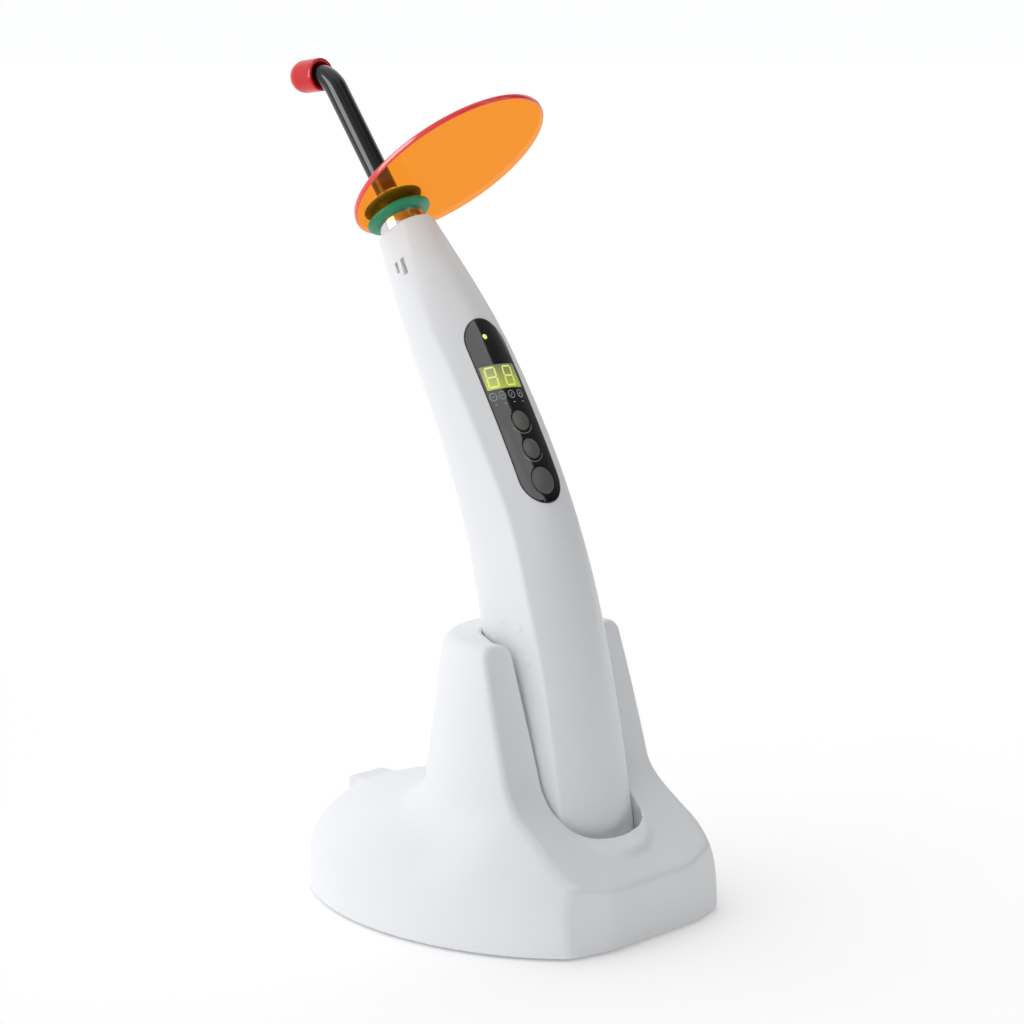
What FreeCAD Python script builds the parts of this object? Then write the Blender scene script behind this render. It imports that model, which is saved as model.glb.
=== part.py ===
import FreeCAD, Part
import math
import os
import Sketcher

# Dental curing light standing in its charging cradle.
# Frame: +Z up, +X is the display side (front), XZ is the plane of symmetry, z = 0 is the table.
# The origin is on the table, below the middle of the cradle. Millimetres and degrees.

Vector = FreeCAD.Vector
Rotation = FreeCAD.Rotation
Placement = FreeCAD.Placement
UP = Vector(0, 0, 1)
EPS = 1e-6
BOTH_SIDES = (1, -1)        # +Y, then -Y
doc = FreeCAD.newDocument("CuringLight")

# ---------------------------------------------------------------------------
# driving dimensions
# ---------------------------------------------------------------------------
# Handle stations, nose to foot. Columns: x and z of the dorsal point, tilt, half width and
# drop of the side crease, largest half width, depth, squareness of the back, and where the
# largest width lies as a part of the depth.
STATION_FIELDS = ("px", "pz", "tilt", "crease", "drop", "half", "depth", "square", "split")
STATIONS = [
    (-42.8, 235.85, 36.1, 9.84, 7.5, 10.4, 21.2, 2.00, 0.500),
    (-29.52, 219.6, 35.6, 13.57, 7.6, 14.27, 24.79, 2.05, 0.490),
    (-15.87, 201.0, 34.3, 16.26, 7.0, 17.16, 27.7, 2.10, 0.480),
    (-3.2, 180.3, 31.2, 16.77, 5.7, 17.67, 29.2, 2.20, 0.475),
    (8.8, 159.2, 28.1, 16.75, 5.2, 17.65, 31.69, 2.30, 0.470),
    (17.7, 141.7, 25.0, 16.37, 5.0, 17.27, 34.51, 2.35, 0.470),
    (28.2, 113.0, 17.6, 17.09, 4.9, 17.89, 37.0, 2.40, 0.470),
    (33.7, 93.0, 13.6, 17.1, 4.7, 17.8, 37.8, 2.40, 0.470),
    (39.6, 65.0, 10.8, 17.5, 4.5, 18.0, 37.4, 2.40, 0.470),
    (43.7, 42.0, 9.4, 17.7, 4.5, 18.0, 36.4, 2.40, 0.470),
    (46.4, 25.0, 8.6, 17.6, 4.5, 17.9, 35.6, 2.40, 0.470)]

# alias, value, optional note
DIMENSIONS = [
    ("handle_wall", 2.2, "wall of both housing halves"),
    ("split_gap", 0.05, "gap between the housing halves"),
    ("parting_nose", 0.82, "parting line, as a part of the depth, at the nose"),
    ("parting_body", 0.90, "parting line, as a part of the depth, from the third station on"),
    # control panel on the curved dorsal line; every *_at is a distance up that line
    ("panel_px", -2.171), ("panel_pz", 178.314), ("panel_tilt", 30.887),
    ("panel_curve", 0.125, "degrees of tilt per mm along the panel"),
    ("panel_mid", -7.3), ("panel_length", 68.7), ("panel_width", 19.05),
    ("panel_thick", 1.2), ("panel_proud", 0.25),
    ("window_at", 5.2), ("window_long", 8.8), ("window_wide", 16.4),
    ("led_at", 20.3), ("led_radius", 1.1),
    ("icon_at", -1.6), ("icon_pitch", 4.2), ("icon_radius", 0.7),
    ("mode_at", -11.66), ("time_at", -22.03), ("power_at", -33.72),
    ("small_button_radius", 3.55), ("large_button_radius", 4.8),
    ("button_gap", 0.12), ("button_travel", 0.6),
    # control board and battery
    ("board_length", 60.0), ("board_width", 21.0), ("board_thick", 1.2),
    ("board_depth", 7.6, "board top below the dorsal line"), ("board_at", -11.0),
    ("battery_radius", 9.2), ("battery_length", 65.0),
    ("battery_px", 20.6), ("battery_pz", 68.0), ("battery_tilt", 11.5),
    # light engine and light guide, along the guide axis from the nose opening
    ("guide_px", -50.35), ("guide_pz", 228.49), ("guide_tilt", 36.09),
    ("ferrule_radius", 8.5), ("ferrule_plug_radius", 7.0), ("ferrule_neck_radius", 6.0),
    ("bush_radius", 8.6), ("bush_bore", 7.05),
    ("sheath_radius", 4.0), ("core_radius", 3.4),
    ("guide_start", -15.5), ("guide_vertex", 67.9), ("guide_bend", 60.0),
    ("guide_bend_radius", 12.0), ("guide_after_vertex", 13.5),
    ("cap_radius", 5.9), ("cap_bore", 4.05), ("cap_length", 14.1),
    ("cap_rim_from_vertex", 3.8),
    # eye shield
    ("shield_at", 10.46), ("shield_long", 76.6), ("shield_wide", 64.9), ("shield_thick", 2.0),
    ("shield_offset", 24.85), ("shield_turn", 20.5), ("shield_pitch", -4.1),
    ("shield_roll", -1.5), ("shield_hole", 7.9),
    ("grommet_radius", 11.0), ("grommet_bore", 6.05), ("grommet_neck", 7.6),
    # cradle
    ("dome_px", -1.34), ("dome_a", 80.4), ("dome_b", 61.2), ("dome_top", 38.4),
    ("dome_power", 3.1),
    ("tower_px", 14.5), ("tower_top", 97.0), ("tower_top_radius", 32.4),
    ("tower_foot_radius", 46.2, "at the table plane"), ("tower_edge", 5.0),
    ("front_foot_px", 66.6), ("front_lip_px", 65.2), ("front_lip_pz", 21.0),
    ("knee_px", 33.3), ("knee_pz", 45.2), ("brow_px", 19.0), ("brow_pz", 96.8),
    ("facet_inner", 22.7), ("facet_outer", 80.0), ("facet_outer_px", 50.9),
    ("base_wall", 2.5), ("base_rim", 0.8),
    ("slot_tilt", 12.0), ("slot_back", 13.2), ("slot_front", 56.0), ("slot_corner", 50.0),
    ("slot_half", 19.0), ("slot_floor", 14.7), ("slot_wall", 2.2),
    ("lip_front", 61.3), ("lip_corner", 55.0), ("lip_half", 19.5),
    ("cover_thick", 2.0), ("cover_screw_px", 50.0), ("cover_screw_py", 30.0),
    ("cover_screw_radius", 1.5),
    ("foot_radius", 6.0), ("foot_height", 1.55), ("foot_back_px", 60.0),
    ("foot_back_py", 14.0), ("foot_front_px", 34.0), ("foot_front_py", 42.0),
    ("pin_py", 7.0), ("pin_px", 29.0), ("pin_radius", 1.2), ("pin_bore", 1.25),
    ("terminal_radius", 2.6), ("terminal_thick", 3.4),
    ("jack_px", -75.5), ("jack_half", 8.5), ("jack_top", 30.4), ("jack_pz", 18.5),
    ("jack_bore", 2.9)]

sheet = doc.addObject("Spreadsheet::Sheet", "Dimensions")


def fill_sheet():
    rows = [("station%d_%s" % (number, field), value)
            for number, station in enumerate(STATIONS, 1)
            for field, value in zip(STATION_FIELDS, station)]
    for row, entry in enumerate(rows + DIMENSIONS, 1):
        alias, value = entry[:2]
        sheet.set("A%d" % row, alias)
        sheet.set("B%d" % row, repr(float(value)))
        sheet.set("C%d" % row, entry[2] if len(entry) > 2 else "")
        sheet.setAlias("B%d" % row, alias)
    doc.recompute()


fill_sheet()


def size(alias):
    return float(getattr(sheet, alias))


def value_of(entry):
    """The number behind a plain number or an expression on the sheet."""
    if not isinstance(entry, str):
        return float(entry)
    value = sheet.evalExpression(entry.replace("Dimensions.", ""))
    return float(getattr(value, "Value", value))


def bind(obj, prop, entry):
    """Sets a property; text is an expression and stays bound to the sheet."""
    if isinstance(entry, str):
        obj.setExpression(prop, entry)
    else:
        setattr(obj, prop, entry)


# ---------------------------------------------------------------------------
# frames and document objects
# ---------------------------------------------------------------------------
nodes = []          # (label, object) of every exported piece


def node(obj, label):
    obj.Label = label
    nodes.append((label, obj))
    return obj


def shift(x, y, z):
    return Placement(Vector(x, y, z), Rotation())


def tilted(x, z, angle, y=0.0):
    """A frame turned about +Y."""
    return Placement(Vector(x, y, z), Rotation(Vector(0, 1, 0), angle))


def normal_frame(x, z, tilt, y=0.0):
    """Local Z is the outward dorsal normal, local X runs down the handle, local Y is +Y."""
    return tilted(x, z, 90.0 - tilt, y)


def placed(shape, frame):
    shape.Placement = frame.multiply(shape.Placement)
    return shape


def feature(label, shape, place=Placement()):
    obj = doc.addObject("Part::Feature", label)
    obj.Shape = shape
    obj.Placement = place
    node(obj, label)


def box(name, length, width, height, place):
    obj = doc.addObject("Part::Box", name)
    bind(obj, "Length", length)
    bind(obj, "Width", width)
    bind(obj, "Height", height)
    obj.Placement = place
    return obj


def cylinder(name, radius, height, place):
    obj = doc.addObject("Part::Cylinder", name)
    bind(obj, "Radius", radius)
    bind(obj, "Height", height)
    obj.Placement = place
    return obj


def compound(label, objects):
    obj = doc.addObject("Part::Compound", label)
    obj.Links = objects
    node(obj, label)


def screw(name, number, frame, head_radius, head_height, head_z, shaft_radius, shaft_z):
    """A head and a 9 mm shaft along the frame's Z axis."""
    fused = doc.addObject("Part::Fuse", "%s%d" % (name, number))
    fused.Base = cylinder("%s_head%d" % (name, number), head_radius, head_height,
                          frame.multiply(shift(0, 0, head_z)))
    fused.Tool = cylinder("%s_shaft%d" % (name, number), shaft_radius, 9.0,
                          frame.multiply(shift(0, 0, shaft_z)))
    return fused


# ---------------------------------------------------------------------------
# bodies and sketches; a size is a number or an expression on the sheet
# ---------------------------------------------------------------------------
def new_body(label, frame):
    body = doc.addObject("PartDesign::Body", label)
    body.Placement = frame
    return node(body, label)


def new_sketch(body, name, plane="XY_Plane", offset=0.0):
    sketch = body.newObject("Sketcher::SketchObject", name)
    support = next(f for f in body.Origin.OriginFeatures if f.Role == plane)
    sketch.AttachmentSupport = [(support, "")]
    sketch.MapMode = "FlatFace"
    if offset:
        sketch.AttachmentOffset = shift(0, 0, value_of(offset))
        if isinstance(offset, str):
            sketch.setExpression("AttachmentOffset.Base.z", offset)
    return sketch


def constrain(sketch, kind, *references):
    return sketch.addConstraint(Sketcher.Constraint(kind, *references))


def measure(sketch, kind, references, entry):
    """Adds a dimensional constraint."""
    index = constrain(sketch, kind, *references, value_of(entry))
    if isinstance(entry, str):
        sketch.setExpression("Constraints[%d]" % index, entry)


def circle(sketch, radius, x=0.0, y=0.0):
    centre = Vector(value_of(x), value_of(y), 0)
    index = sketch.addGeometry(Part.Circle(centre, UP, value_of(radius)), False)
    measure(sketch, "Radius", (index,), radius)
    if x == 0.0 and y == 0.0:
        constrain(sketch, "Coincident", index, 3, -1, 1)
    else:
        measure(sketch, "DistanceX", (-1, 1, index, 3), x)
        measure(sketch, "DistanceY", (-1, 1, index, 3), y)


def closed_outline(sketch, corners):
    """Joined line segments; segment i starts at corner i."""
    count = len(corners)
    sketch.addGeometry([Part.LineSegment(corners[i], corners[(i + 1) % count])
                        for i in range(count)], False)
    for i in range(count):
        constrain(sketch, "Coincident", i, 2, (i + 1) % count, 1)


def rectangle(sketch, width, height):
    """A rectangle centred on the sketch origin."""
    x, y = value_of(width) / 2, value_of(height) / 2
    closed_outline(sketch, [Vector(-x, -y, 0), Vector(x, -y, 0),
                            Vector(x, y, 0), Vector(-x, y, 0)])
    constrain(sketch, "Horizontal", 0)
    constrain(sketch, "Horizontal", 2)
    constrain(sketch, "Vertical", 1)
    constrain(sketch, "Vertical", 3)
    constrain(sketch, "Symmetric", 0, 1, 1, 2, -1, 1)
    measure(sketch, "DistanceX", (0, 1, 0, 2), width)
    measure(sketch, "DistanceY", (1, 1, 1, 2), height)


def turned(label, points, frame):
    """A half profile of (radius, height) points turned about the frame's Z axis."""
    body = new_body(label, frame)
    sketch = new_sketch(body, label + "_profile", "XZ_Plane")
    corners = [Vector(value_of(radius), value_of(height), 0) for radius, height in points]
    closed_outline(sketch, corners)
    for i, ((radius, height), corner) in enumerate(zip(points, corners)):
        for kind, entry, value, axis in (("DistanceX", radius, corner.x, -2),
                                         ("DistanceY", height, corner.y, -1)):
            if abs(value) < 1e-9:
                constrain(sketch, "PointOnObject", i, 1, axis)
            else:
                measure(sketch, kind, (-1, 1, i, 1), entry)
    revolution = body.newObject("PartDesign::Revolution", label + "_turned")
    revolution.Profile = sketch
    revolution.ReferenceAxis = (sketch, ["V_Axis"])
    revolution.Angle = 360.0


def pad(body, sketch, length, name, reverse=False, midplane=False):
    obj = body.newObject("PartDesign::Pad", name)
    obj.Profile = sketch
    bind(obj, "Length", length)
    obj.Reversed = reverse
    if midplane:
        obj.Midplane = True
    return obj


def pocket_through(body, sketch, name):
    pocket = body.newObject("PartDesign::Pocket", name)
    pocket.Profile = sketch
    pocket.Type = 1         # through all
    pocket.Midplane = True


def block_body(label, frame, sketch_name, width, height, length, pad_name, reverse=False):
    """A body with a centred rectangle padded along its Z axis."""
    body = new_body(label, frame)
    sketch = new_sketch(body, sketch_name)
    rectangle(sketch, width, height)
    pad(body, sketch, length, pad_name, reverse)
    return body


# ---------------------------------------------------------------------------
# plain solids
# ---------------------------------------------------------------------------
def spline_edge(points):
    curve = Part.BSplineCurve()
    curve.interpolate(points)
    return curve.toShape()


def prism(points, direction):
    return Part.Face(Part.makePolygon(points + points[:1])).extrude(direction)


def cylinder_in(frame, radius, z_low, z_high, x=0.0, y=0.0):
    return placed(Part.makeCylinder(radius, z_high - z_low, Vector(x, y, z_low), UP), frame)


def upright_cylinder(radius, height, x, y, z):
    return Part.makeCylinder(radius, height, Vector(x, y, z), UP)


def block_in(frame, length, width, z_low, z_high):
    corner = Vector(-length / 2, -width / 2, z_low)
    return placed(Part.makeBox(length, width, z_high - z_low, corner), frame)


def stadium(frame, length, width, z_low, z_high):
    """A prism with half-round ends on its local X axis."""
    radius = width / 2
    flat = length / 2 - radius

    def point(x, y):
        return Vector(x, y, z_low)

    edges = [Part.makeLine(point(-flat, -radius), point(flat, -radius)),
             Part.Arc(point(flat, -radius), point(flat + radius, 0),
                      point(flat, radius)).toShape(),
             Part.makeLine(point(flat, radius), point(-flat, radius)),
             Part.Arc(point(-flat, radius), point(-flat - radius, 0),
                      point(-flat, -radius)).toShape()]
    solid = Part.Face(Part.Wire(edges)).extrude(Vector(0, 0, z_high - z_low))
    return placed(solid, frame)


def lead_pair(label, points, radius):
    """A round lead through the points, and its mirror image in the XZ plane."""
    leads = []
    for side in BOTH_SIDES:
        path = [Vector(x, side * y, z) for x, y, z in points]
        edge = spline_edge(path)
        start = edge.tangentAt(edge.FirstParameter)
        ring = Part.Wire([Part.makeCircle(radius, path[0], start)])
        leads.append(Part.Wire([edge]).makePipeShell([ring], True, True))
    feature(label, Part.makeCompound(leads))


# ---------------------------------------------------------------------------
# handle surfaces
# ---------------------------------------------------------------------------
stations = [{field: size("station%d_%s" % (number, field)) for field in STATION_FIELDS}
            for number in range(1, len(STATIONS) + 1)]


def section_points(station, inset):
    """Outline at a station, moved inward by inset, as (n, y) points.

    n is along the outward dorsal normal. Returns the dorsal arc, the +Y side and the back.
    """
    width, drop, half = station["crease"], station["drop"], station["half"]
    arc_radius = (width * width + drop * drop) / (2 * drop)
    arc_angle = math.asin(width / arc_radius)
    inset_radius = arc_radius - inset
    widest = station["depth"] * station["split"]
    flare = (half - width) * math.pi / 2        # the side widens as a quarter sine
    side_angle = math.atan2(flare, widest - drop)

    # the inset crease lies on the miter of the dorsal and side normals, each (n, y)
    dorsal_normal = (math.cos(arc_angle), math.sin(arc_angle))
    side_normal = (math.sin(side_angle), math.cos(side_angle))
    scale = 1 + dorsal_normal[0] * side_normal[0] + dorsal_normal[1] * side_normal[1]
    miter_n = (dorsal_normal[0] + side_normal[0]) / scale
    miter_y = (dorsal_normal[1] + side_normal[1]) / scale
    crease = (-drop - inset * miter_n, width - inset * miter_y)

    crease_angle = math.asin(crease[1] / inset_radius)
    dorsal = [(crease[0], -crease[1])]
    for part in (-0.5, 0.0, 0.5):
        angle = crease_angle * part
        dorsal.append((-arc_radius + inset_radius * math.cos(angle),
                       inset_radius * math.sin(angle)))
    dorsal.append(crease)

    side = [crease]
    for part in (0.4, 0.7):
        turn = part * math.pi / 2
        slope = math.atan2(flare * math.cos(turn), widest - drop)
        side.append((-drop - (widest - drop) * part - inset * math.sin(slope),
                     width + (half - width) * math.sin(turn) - inset * math.cos(slope)))
    side.append((-widest, half - inset))

    # the back is half a superellipse
    power = 2 / station["square"]
    back_depth = station["depth"] - widest - inset
    back_half = half - inset
    back = []
    for step in range(13):
        across, inward = math.cos(math.pi * step / 12), math.sin(math.pi * step / 12)
        back.append((-widest - back_depth * abs(inward) ** power,
                     back_half * math.copysign(abs(across) ** power, across)))
    return dorsal, side, back


def section_wire(station, inset, rise):
    """Closed section; rise moves it along the handle, towards the nose."""
    tilt = math.radians(station["tilt"])
    normal = Vector(math.cos(tilt), 0, math.sin(tilt))
    along = Vector(-math.sin(tilt), 0, math.cos(tilt))
    origin = Vector(station["px"], 0, station["pz"]) + along * rise
    dorsal, side, back = section_points(station, inset)
    other_side = [(n, -y) for n, y in reversed(side)]
    return Part.Wire([spline_edge([origin + normal * n + Vector(0, y, 0) for n, y in points])
                      for points in (dorsal, side, back, other_side)])


def handle_solid(inset, nose_rise=0.0, foot_rise=0.0):
    rises = [nose_rise] + [0.0] * (len(stations) - 2) + [foot_rise]
    wires = [section_wire(station, inset, rise) for station, rise in zip(stations, rises)]
    return Part.makeLoft(wires, True, False)


def split_region(gap):
    """Everything on the display side of the parting line, which is moved back by gap."""
    far_x, half_width, overrun = 150, 45, 25
    nose, body = size("parting_nose"), size("parting_body")
    line = []
    for i, station in enumerate(stations):
        tilt = math.radians(station["tilt"])
        depth = station["depth"] * (nose + (body - nose) * min(1.0, i / 2.0)) + gap
        line.append(Vector(station["px"] - depth * math.cos(tilt), -half_width,
                           station["pz"] - depth * math.sin(tilt)))
    first = line[0] + (line[0] - line[1]).normalize() * overrun
    last = line[-1] + (line[-1] - line[-2]).normalize() * overrun
    far_last = Vector(far_x, -half_width, last.z)
    far_first = Vector(far_x, -half_width, first.z)
    edges = [spline_edge([first] + line + [last]), Part.makeLine(last, far_last),
             Part.makeLine(far_last, far_first), Part.makeLine(far_first, first)]
    return Part.Face(Part.Wire(edges)).extrude(Vector(0, 2 * half_width, 0))


# the cavity runs out through the nose and leaves a floor at the foot
skin = handle_solid(0.0)
cavity = handle_solid(size("handle_wall"), nose_rise=2.0, foot_rise=2.6)
hollow = skin.cut(cavity)

# local Z points out of the nose, along the light guide
guide_frame = tilted(size("guide_px"), size("guide_pz"), -size("guide_tilt"))

# local Z up the handle, local X forward
foot_station = stations[-1]
foot_tilt = math.radians(foot_station["tilt"])
foot_frame = tilted(foot_station["px"], foot_station["pz"], -foot_station["tilt"])
# the terminals sit above the contact pins
terminal_x = (size("pin_px") - foot_station["px"]) / math.cos(foot_tilt)


# ---------------------------------------------------------------------------
# places on the panel
# ---------------------------------------------------------------------------
# node label, place on the dorsal line, radius
BUTTONS = [("mode_button", "mode_at", "small_button_radius"),
           ("time_button", "time_at", "small_button_radius"),
           ("power_button", "power_at", "large_button_radius")]
ICON_STEPS = (-1.5, -0.5, 0.5, 1.5)     # in icon pitches from the middle
STEM_END = -6.6                         # inner end of the button stems


def panel_frame(distance, depth=0.0):
    """Normal frame a distance up the dorsal line from its reference point, sunk by depth."""
    start = math.radians(size("panel_tilt"))
    curve = math.radians(size("panel_curve"))
    tilt = start + curve * distance
    x = size("panel_px") + (math.cos(tilt) - math.cos(start)) / curve
    z = size("panel_pz") + (math.sin(tilt) - math.sin(start)) / curve
    return normal_frame(x - depth * math.cos(tilt), z - depth * math.sin(tilt),
                        math.degrees(tilt))


def panel_hole(distance, radius, y=0.0):
    return cylinder_in(panel_frame(distance), radius, -6, 6, 0, y)


def panel_opening(distance, length, width):
    return block_in(panel_frame(distance), length, width, -6, 6)


def panel_stadium(grow):
    return stadium(panel_frame(size("panel_mid")), size("panel_length") + grow,
                   size("panel_width") + grow, -9, 9)


def cut_button_holes(shape, gap):
    for _, place, radius in BUTTONS:
        shape = shape.cut(panel_hole(size(place), size(radius) + gap))
    return shape


# ---------------------------------------------------------------------------
# handle shells
# ---------------------------------------------------------------------------
# Shell screws: x and z of the dorsal point, tilt, y, depth of the back wall.
SHELL_SCREWS = [(26.2, 119.0, 19.2, 7.4, 35.0),
                (26.2, 119.0, 19.2, -7.4, 35.0),
                (45.6, 31.2, 8.8, 0.0, 35.6)]
screw_places = [(normal_frame(x, z, tilt, y), depth) for x, z, tilt, y, depth in SHELL_SCREWS]
COLUMN_SHORT = 4.2          # the front columns end this far before the back wall's depth
COLUMN_RADIUS = 2.6
PILLAR_RADIUS = 3.6
PILOT_RADIUS = 0.95
SHANK_HOLE_RADIUS = 1.3
HEAD_HOLE_RADIUS = 2.3

# Air slots on both sides of the nose, in the guide frame: z and x of the middle, x and z size.
AIR_SLOTS = [(-13.5, 0.6, 1.4, 4.4), (-14.5, 3.2, 1.8, 6.6)]
AIR_SLOT_DEPTH = 0.78
INSERT_DEPTH = 0.7


def air_slot_boxes(gap=0.0):
    """Boxes across the whole nose, smaller by gap on each side."""
    boxes = []
    for z, x, x_size, z_size in AIR_SLOTS:
        corner = Vector(x - x_size / 2 + gap, -30, z - z_size / 2 + gap)
        slot = Part.makeBox(x_size - 2 * gap, 60, z_size - 2 * gap, corner)
        boxes.append(placed(slot, guide_frame))
    return boxes


def cut_shared_openings(shell):
    """Air slots, charge terminals and nose bush, which both shells make room for."""
    fit = 0.05
    first, second = air_slot_boxes()
    shell = shell.cut(first.fuse(second).common(skin.cut(handle_solid(AIR_SLOT_DEPTH))))
    for side in BOTH_SIDES:
        shell = shell.cut(cylinder_in(foot_frame, size("terminal_radius") + fit, -1, 6,
                                      terminal_x, side * size("pin_py")))
    shell = shell.cut(cylinder_in(guide_frame, size("bush_radius") + fit, -17.1, 2.0))
    return shell.removeSplitter()


def cut_head_hole(shell, frame, depth):
    return shell.cut(cylinder_in(frame, HEAD_HOLE_RADIUS, -(depth + 6), -(depth - 1.9)))


def handle_front_shell():
    shell = hollow.common(split_region(0.0))
    for frame, depth in screw_places:
        column = cylinder_in(frame, COLUMN_RADIUS, -(depth - COLUMN_SHORT), -1.2)
        shell = shell.fuse(column.common(cavity))
    for frame, depth in screw_places:
        column_end = -(depth - COLUMN_SHORT)
        shell = shell.cut(cylinder_in(frame, PILOT_RADIUS, column_end - 1, column_end + 10.5))
        shell = cut_head_hole(shell, frame, depth)
        shell = shell.cut(cylinder_in(frame, SHANK_HOLE_RADIUS, -(depth + 3), -(depth - 3.4)))

    # seat for the panel, and the openings under it
    seat_floor = handle_solid(size("panel_thick") + 0.1)
    shell = shell.cut(panel_stadium(0.24).common(skin.cut(seat_floor)))
    shell = shell.cut(panel_opening(size("window_at"), size("window_long") + 3.6,
                                    size("window_wide") + 1.6))
    shell = shell.cut(panel_hole(size("led_at"), 1.7))
    shell = shell.cut(panel_opening(size("icon_at") - 0.3, 2.9, 4 * size("icon_pitch")))
    shell = cut_button_holes(shell, 0.5)
    feature("handle_front_shell", cut_shared_openings(shell))


def handle_rear_shell():
    shell = hollow.cut(split_region(size("split_gap")))
    for frame, depth in screw_places:
        pillar = cylinder_in(frame, PILLAR_RADIUS, -(depth + 1.5), -(depth - 4.1))
        shell = shell.fuse(pillar.common(cavity))
    for frame, depth in screw_places:
        shell = shell.cut(cylinder_in(frame, SHANK_HOLE_RADIUS, -(depth + 3), -(depth - 8)))
        shell = cut_head_hole(shell, frame, depth)
    feature("handle_rear_shell", cut_shared_openings(shell))


def air_slot_inserts():
    rind = skin.cut(handle_solid(INSERT_DEPTH))
    inserts = []
    for slot in air_slot_boxes(gap=0.03):
        piece = slot.common(rind)
        for y_from in (0, -60):
            half_space = Part.makeBox(400, 60, 400, Vector(-200, y_from, 0))
            inserts += piece.common(half_space).Solids
    feature("air_slot_inserts", Part.makeCompound(inserts))


def shell_screws():
    screws = []
    for number, (frame, depth) in enumerate(screw_places, 1):
        seat = -(depth - 1.85)
        screws.append(screw("shell_screw", number, frame, head_radius=2.1, head_height=1.3,
                            head_z=seat - 1.35, shaft_radius=0.9, shaft_z=seat - 0.2))
    compound("shell_screws", screws)


# ---------------------------------------------------------------------------
# control panel and what shows in it
# ---------------------------------------------------------------------------
def control_panel():
    fit = 0.05
    proud = handle_solid(-size("panel_proud"))
    plate = panel_stadium(0.0).common(proud.cut(handle_solid(size("panel_thick"))))
    plate = plate.cut(panel_opening(size("window_at"), size("window_long"),
                                    size("window_wide")))
    plate = plate.cut(panel_hole(size("led_at"), size("led_radius") + fit))
    for step in ICON_STEPS:
        plate = plate.cut(panel_hole(size("icon_at"), size("icon_radius") + fit,
                                     step * size("icon_pitch")))
    feature("control_panel", cut_button_holes(plate, size("button_gap")))


def display_window():
    fit = 0.1
    proud, depth = 0.15, 0.95
    block = panel_opening(size("window_at"), size("window_long") - fit,
                          size("window_wide") - fit)
    feature("display_window", block.common(handle_solid(-proud).cut(handle_solid(depth))))


def display_module():
    block_body("display_module", panel_frame(size("window_at"), size("board_depth") - 0.02),
               "display_outline", "Dimensions.window_long + 2.6",
               "Dimensions.window_wide - 1.0",
               "Dimensions.board_depth - Dimensions.panel_thick - 1.7", "display_block")


def power_indicator():
    radius = "Dimensions.led_radius"
    turned("power_indicator", [(0, -3.2), (radius, -3.2), (radius, -0.15),
                               (radius + " * 0.6", 0.35), (0, 0.45)],
           panel_frame(size("led_at")))


def mode_indicators():
    lamp_depth, lamp_height = 2.4, 2.3
    sag = 0.165         # how far a lamp sinks, times its pitch step squared
    frame = panel_frame(size("icon_at"), lamp_depth)
    compound("mode_indicators", [
        cylinder("icon_lamp%d" % number, "Dimensions.icon_radius", lamp_height,
                 frame.multiply(shift(0, step * size("icon_pitch"), -sag * step ** 2)))
        for number, step in enumerate(ICON_STEPS, 1)])


def buttons():
    """Each has a stem, a skirt and a domed cap."""
    stem_radius, skirt_end = 1.3, -3.0
    for label, place, radius_alias in BUTTONS:
        radius = "Dimensions." + radius_alias
        turned(label, [(0, STEM_END), (stem_radius, STEM_END), (stem_radius, skirt_end),
                       (radius + " - 0.4", skirt_end), (radius, -2.7), (radius, 0.15),
                       (radius + " - 0.35", 0.5), (radius + " * 0.55", 0.78), (0, 0.9)],
               panel_frame(size(place)))


# ---------------------------------------------------------------------------
# control board with its parts, battery, terminals
# ---------------------------------------------------------------------------
board_frame = panel_frame(size("board_at"), size("board_depth") + 1.6)

# Parts under the board: name, corner x and y, length, width, height.
BOARD_CHIPS = [("chip1", -26.0, -4.5, 9.0, 9.0, 1.6),
               ("chip2", -10.0, 1.5, 6.0, 5.0, 1.5),
               ("chip3", -1.0, -7.5, 5.0, 4.0, 1.5),
               ("inductor", 8.0, 0.5, 6.5, 6.5, 3.0)]
BOARD_HOLES = [(27.0, 0.0), (-27.5, 7.5), (-27.5, -7.5)]


def main_board():
    body = block_body("main_board", board_frame, "board_outline", "Dimensions.board_length",
                      "Dimensions.board_width", "Dimensions.board_thick", "board_plate",
                      reverse=True)
    sketch = new_sketch(body, "board_holes")
    for x, y in BOARD_HOLES:
        circle(sketch, 1.1, x, y)
    pocket_through(body, sketch, "board_hole_cut")


def tactile_switches():
    side, height = 5.0, 1.1
    # one travel and a small gap below the button stems
    top = STEM_END - size("button_travel") - 0.06
    compound("tactile_switches", [
        box("switch%d" % number, side, side, height,
            panel_frame(size(place)).multiply(shift(-side / 2, -side / 2, top - height)))
        for number, (_, place, _) in enumerate(BUTTONS, 1)])


def board_parts():
    underside = -size("board_thick")
    compound("board_chips", [
        box(name, length, width, height,
            board_frame.multiply(shift(x, y, underside - height)))
        for name, x, y, length, width, height in BOARD_CHIPS])
    radius, height, gap = 4.6, 3.4, 0.02
    place = board_frame.multiply(shift(21.0, -2.0, underside - height - gap))
    node(cylinder("buzzer_can", radius, height, place), "buzzer")


def battery():
    frame = tilted(size("battery_px"), size("battery_pz"), -size("battery_tilt"))
    radius = "Dimensions.battery_radius"
    end = "Dimensions.battery_length / 2"
    cap_radius = 3.2
    turned("battery_cell", [(0, "-" + end), (radius + " - 0.8", "-" + end),
                            (radius, "-" + end + " + 0.8"), (radius, end + " - 2.2"),
                            (radius + " - 0.7", end + " - 1.4"),
                            (cap_radius, end + " - 1.2"), (cap_radius, end), (0, end)], frame)
    clip_thick, gap = 0.5, 0.05
    half = size("battery_length") / 2
    compound("battery_clips", [
        box(name, side, side, clip_thick, frame.multiply(shift(-side / 2, -side / 2, z)))
        for name, side, z in (("clip_low", 13.0, -half - gap - clip_thick),
                              ("clip_high", 11.0, half + gap))])


TERMINAL_RECESS = 0.3       # terminals above the foot plane


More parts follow.
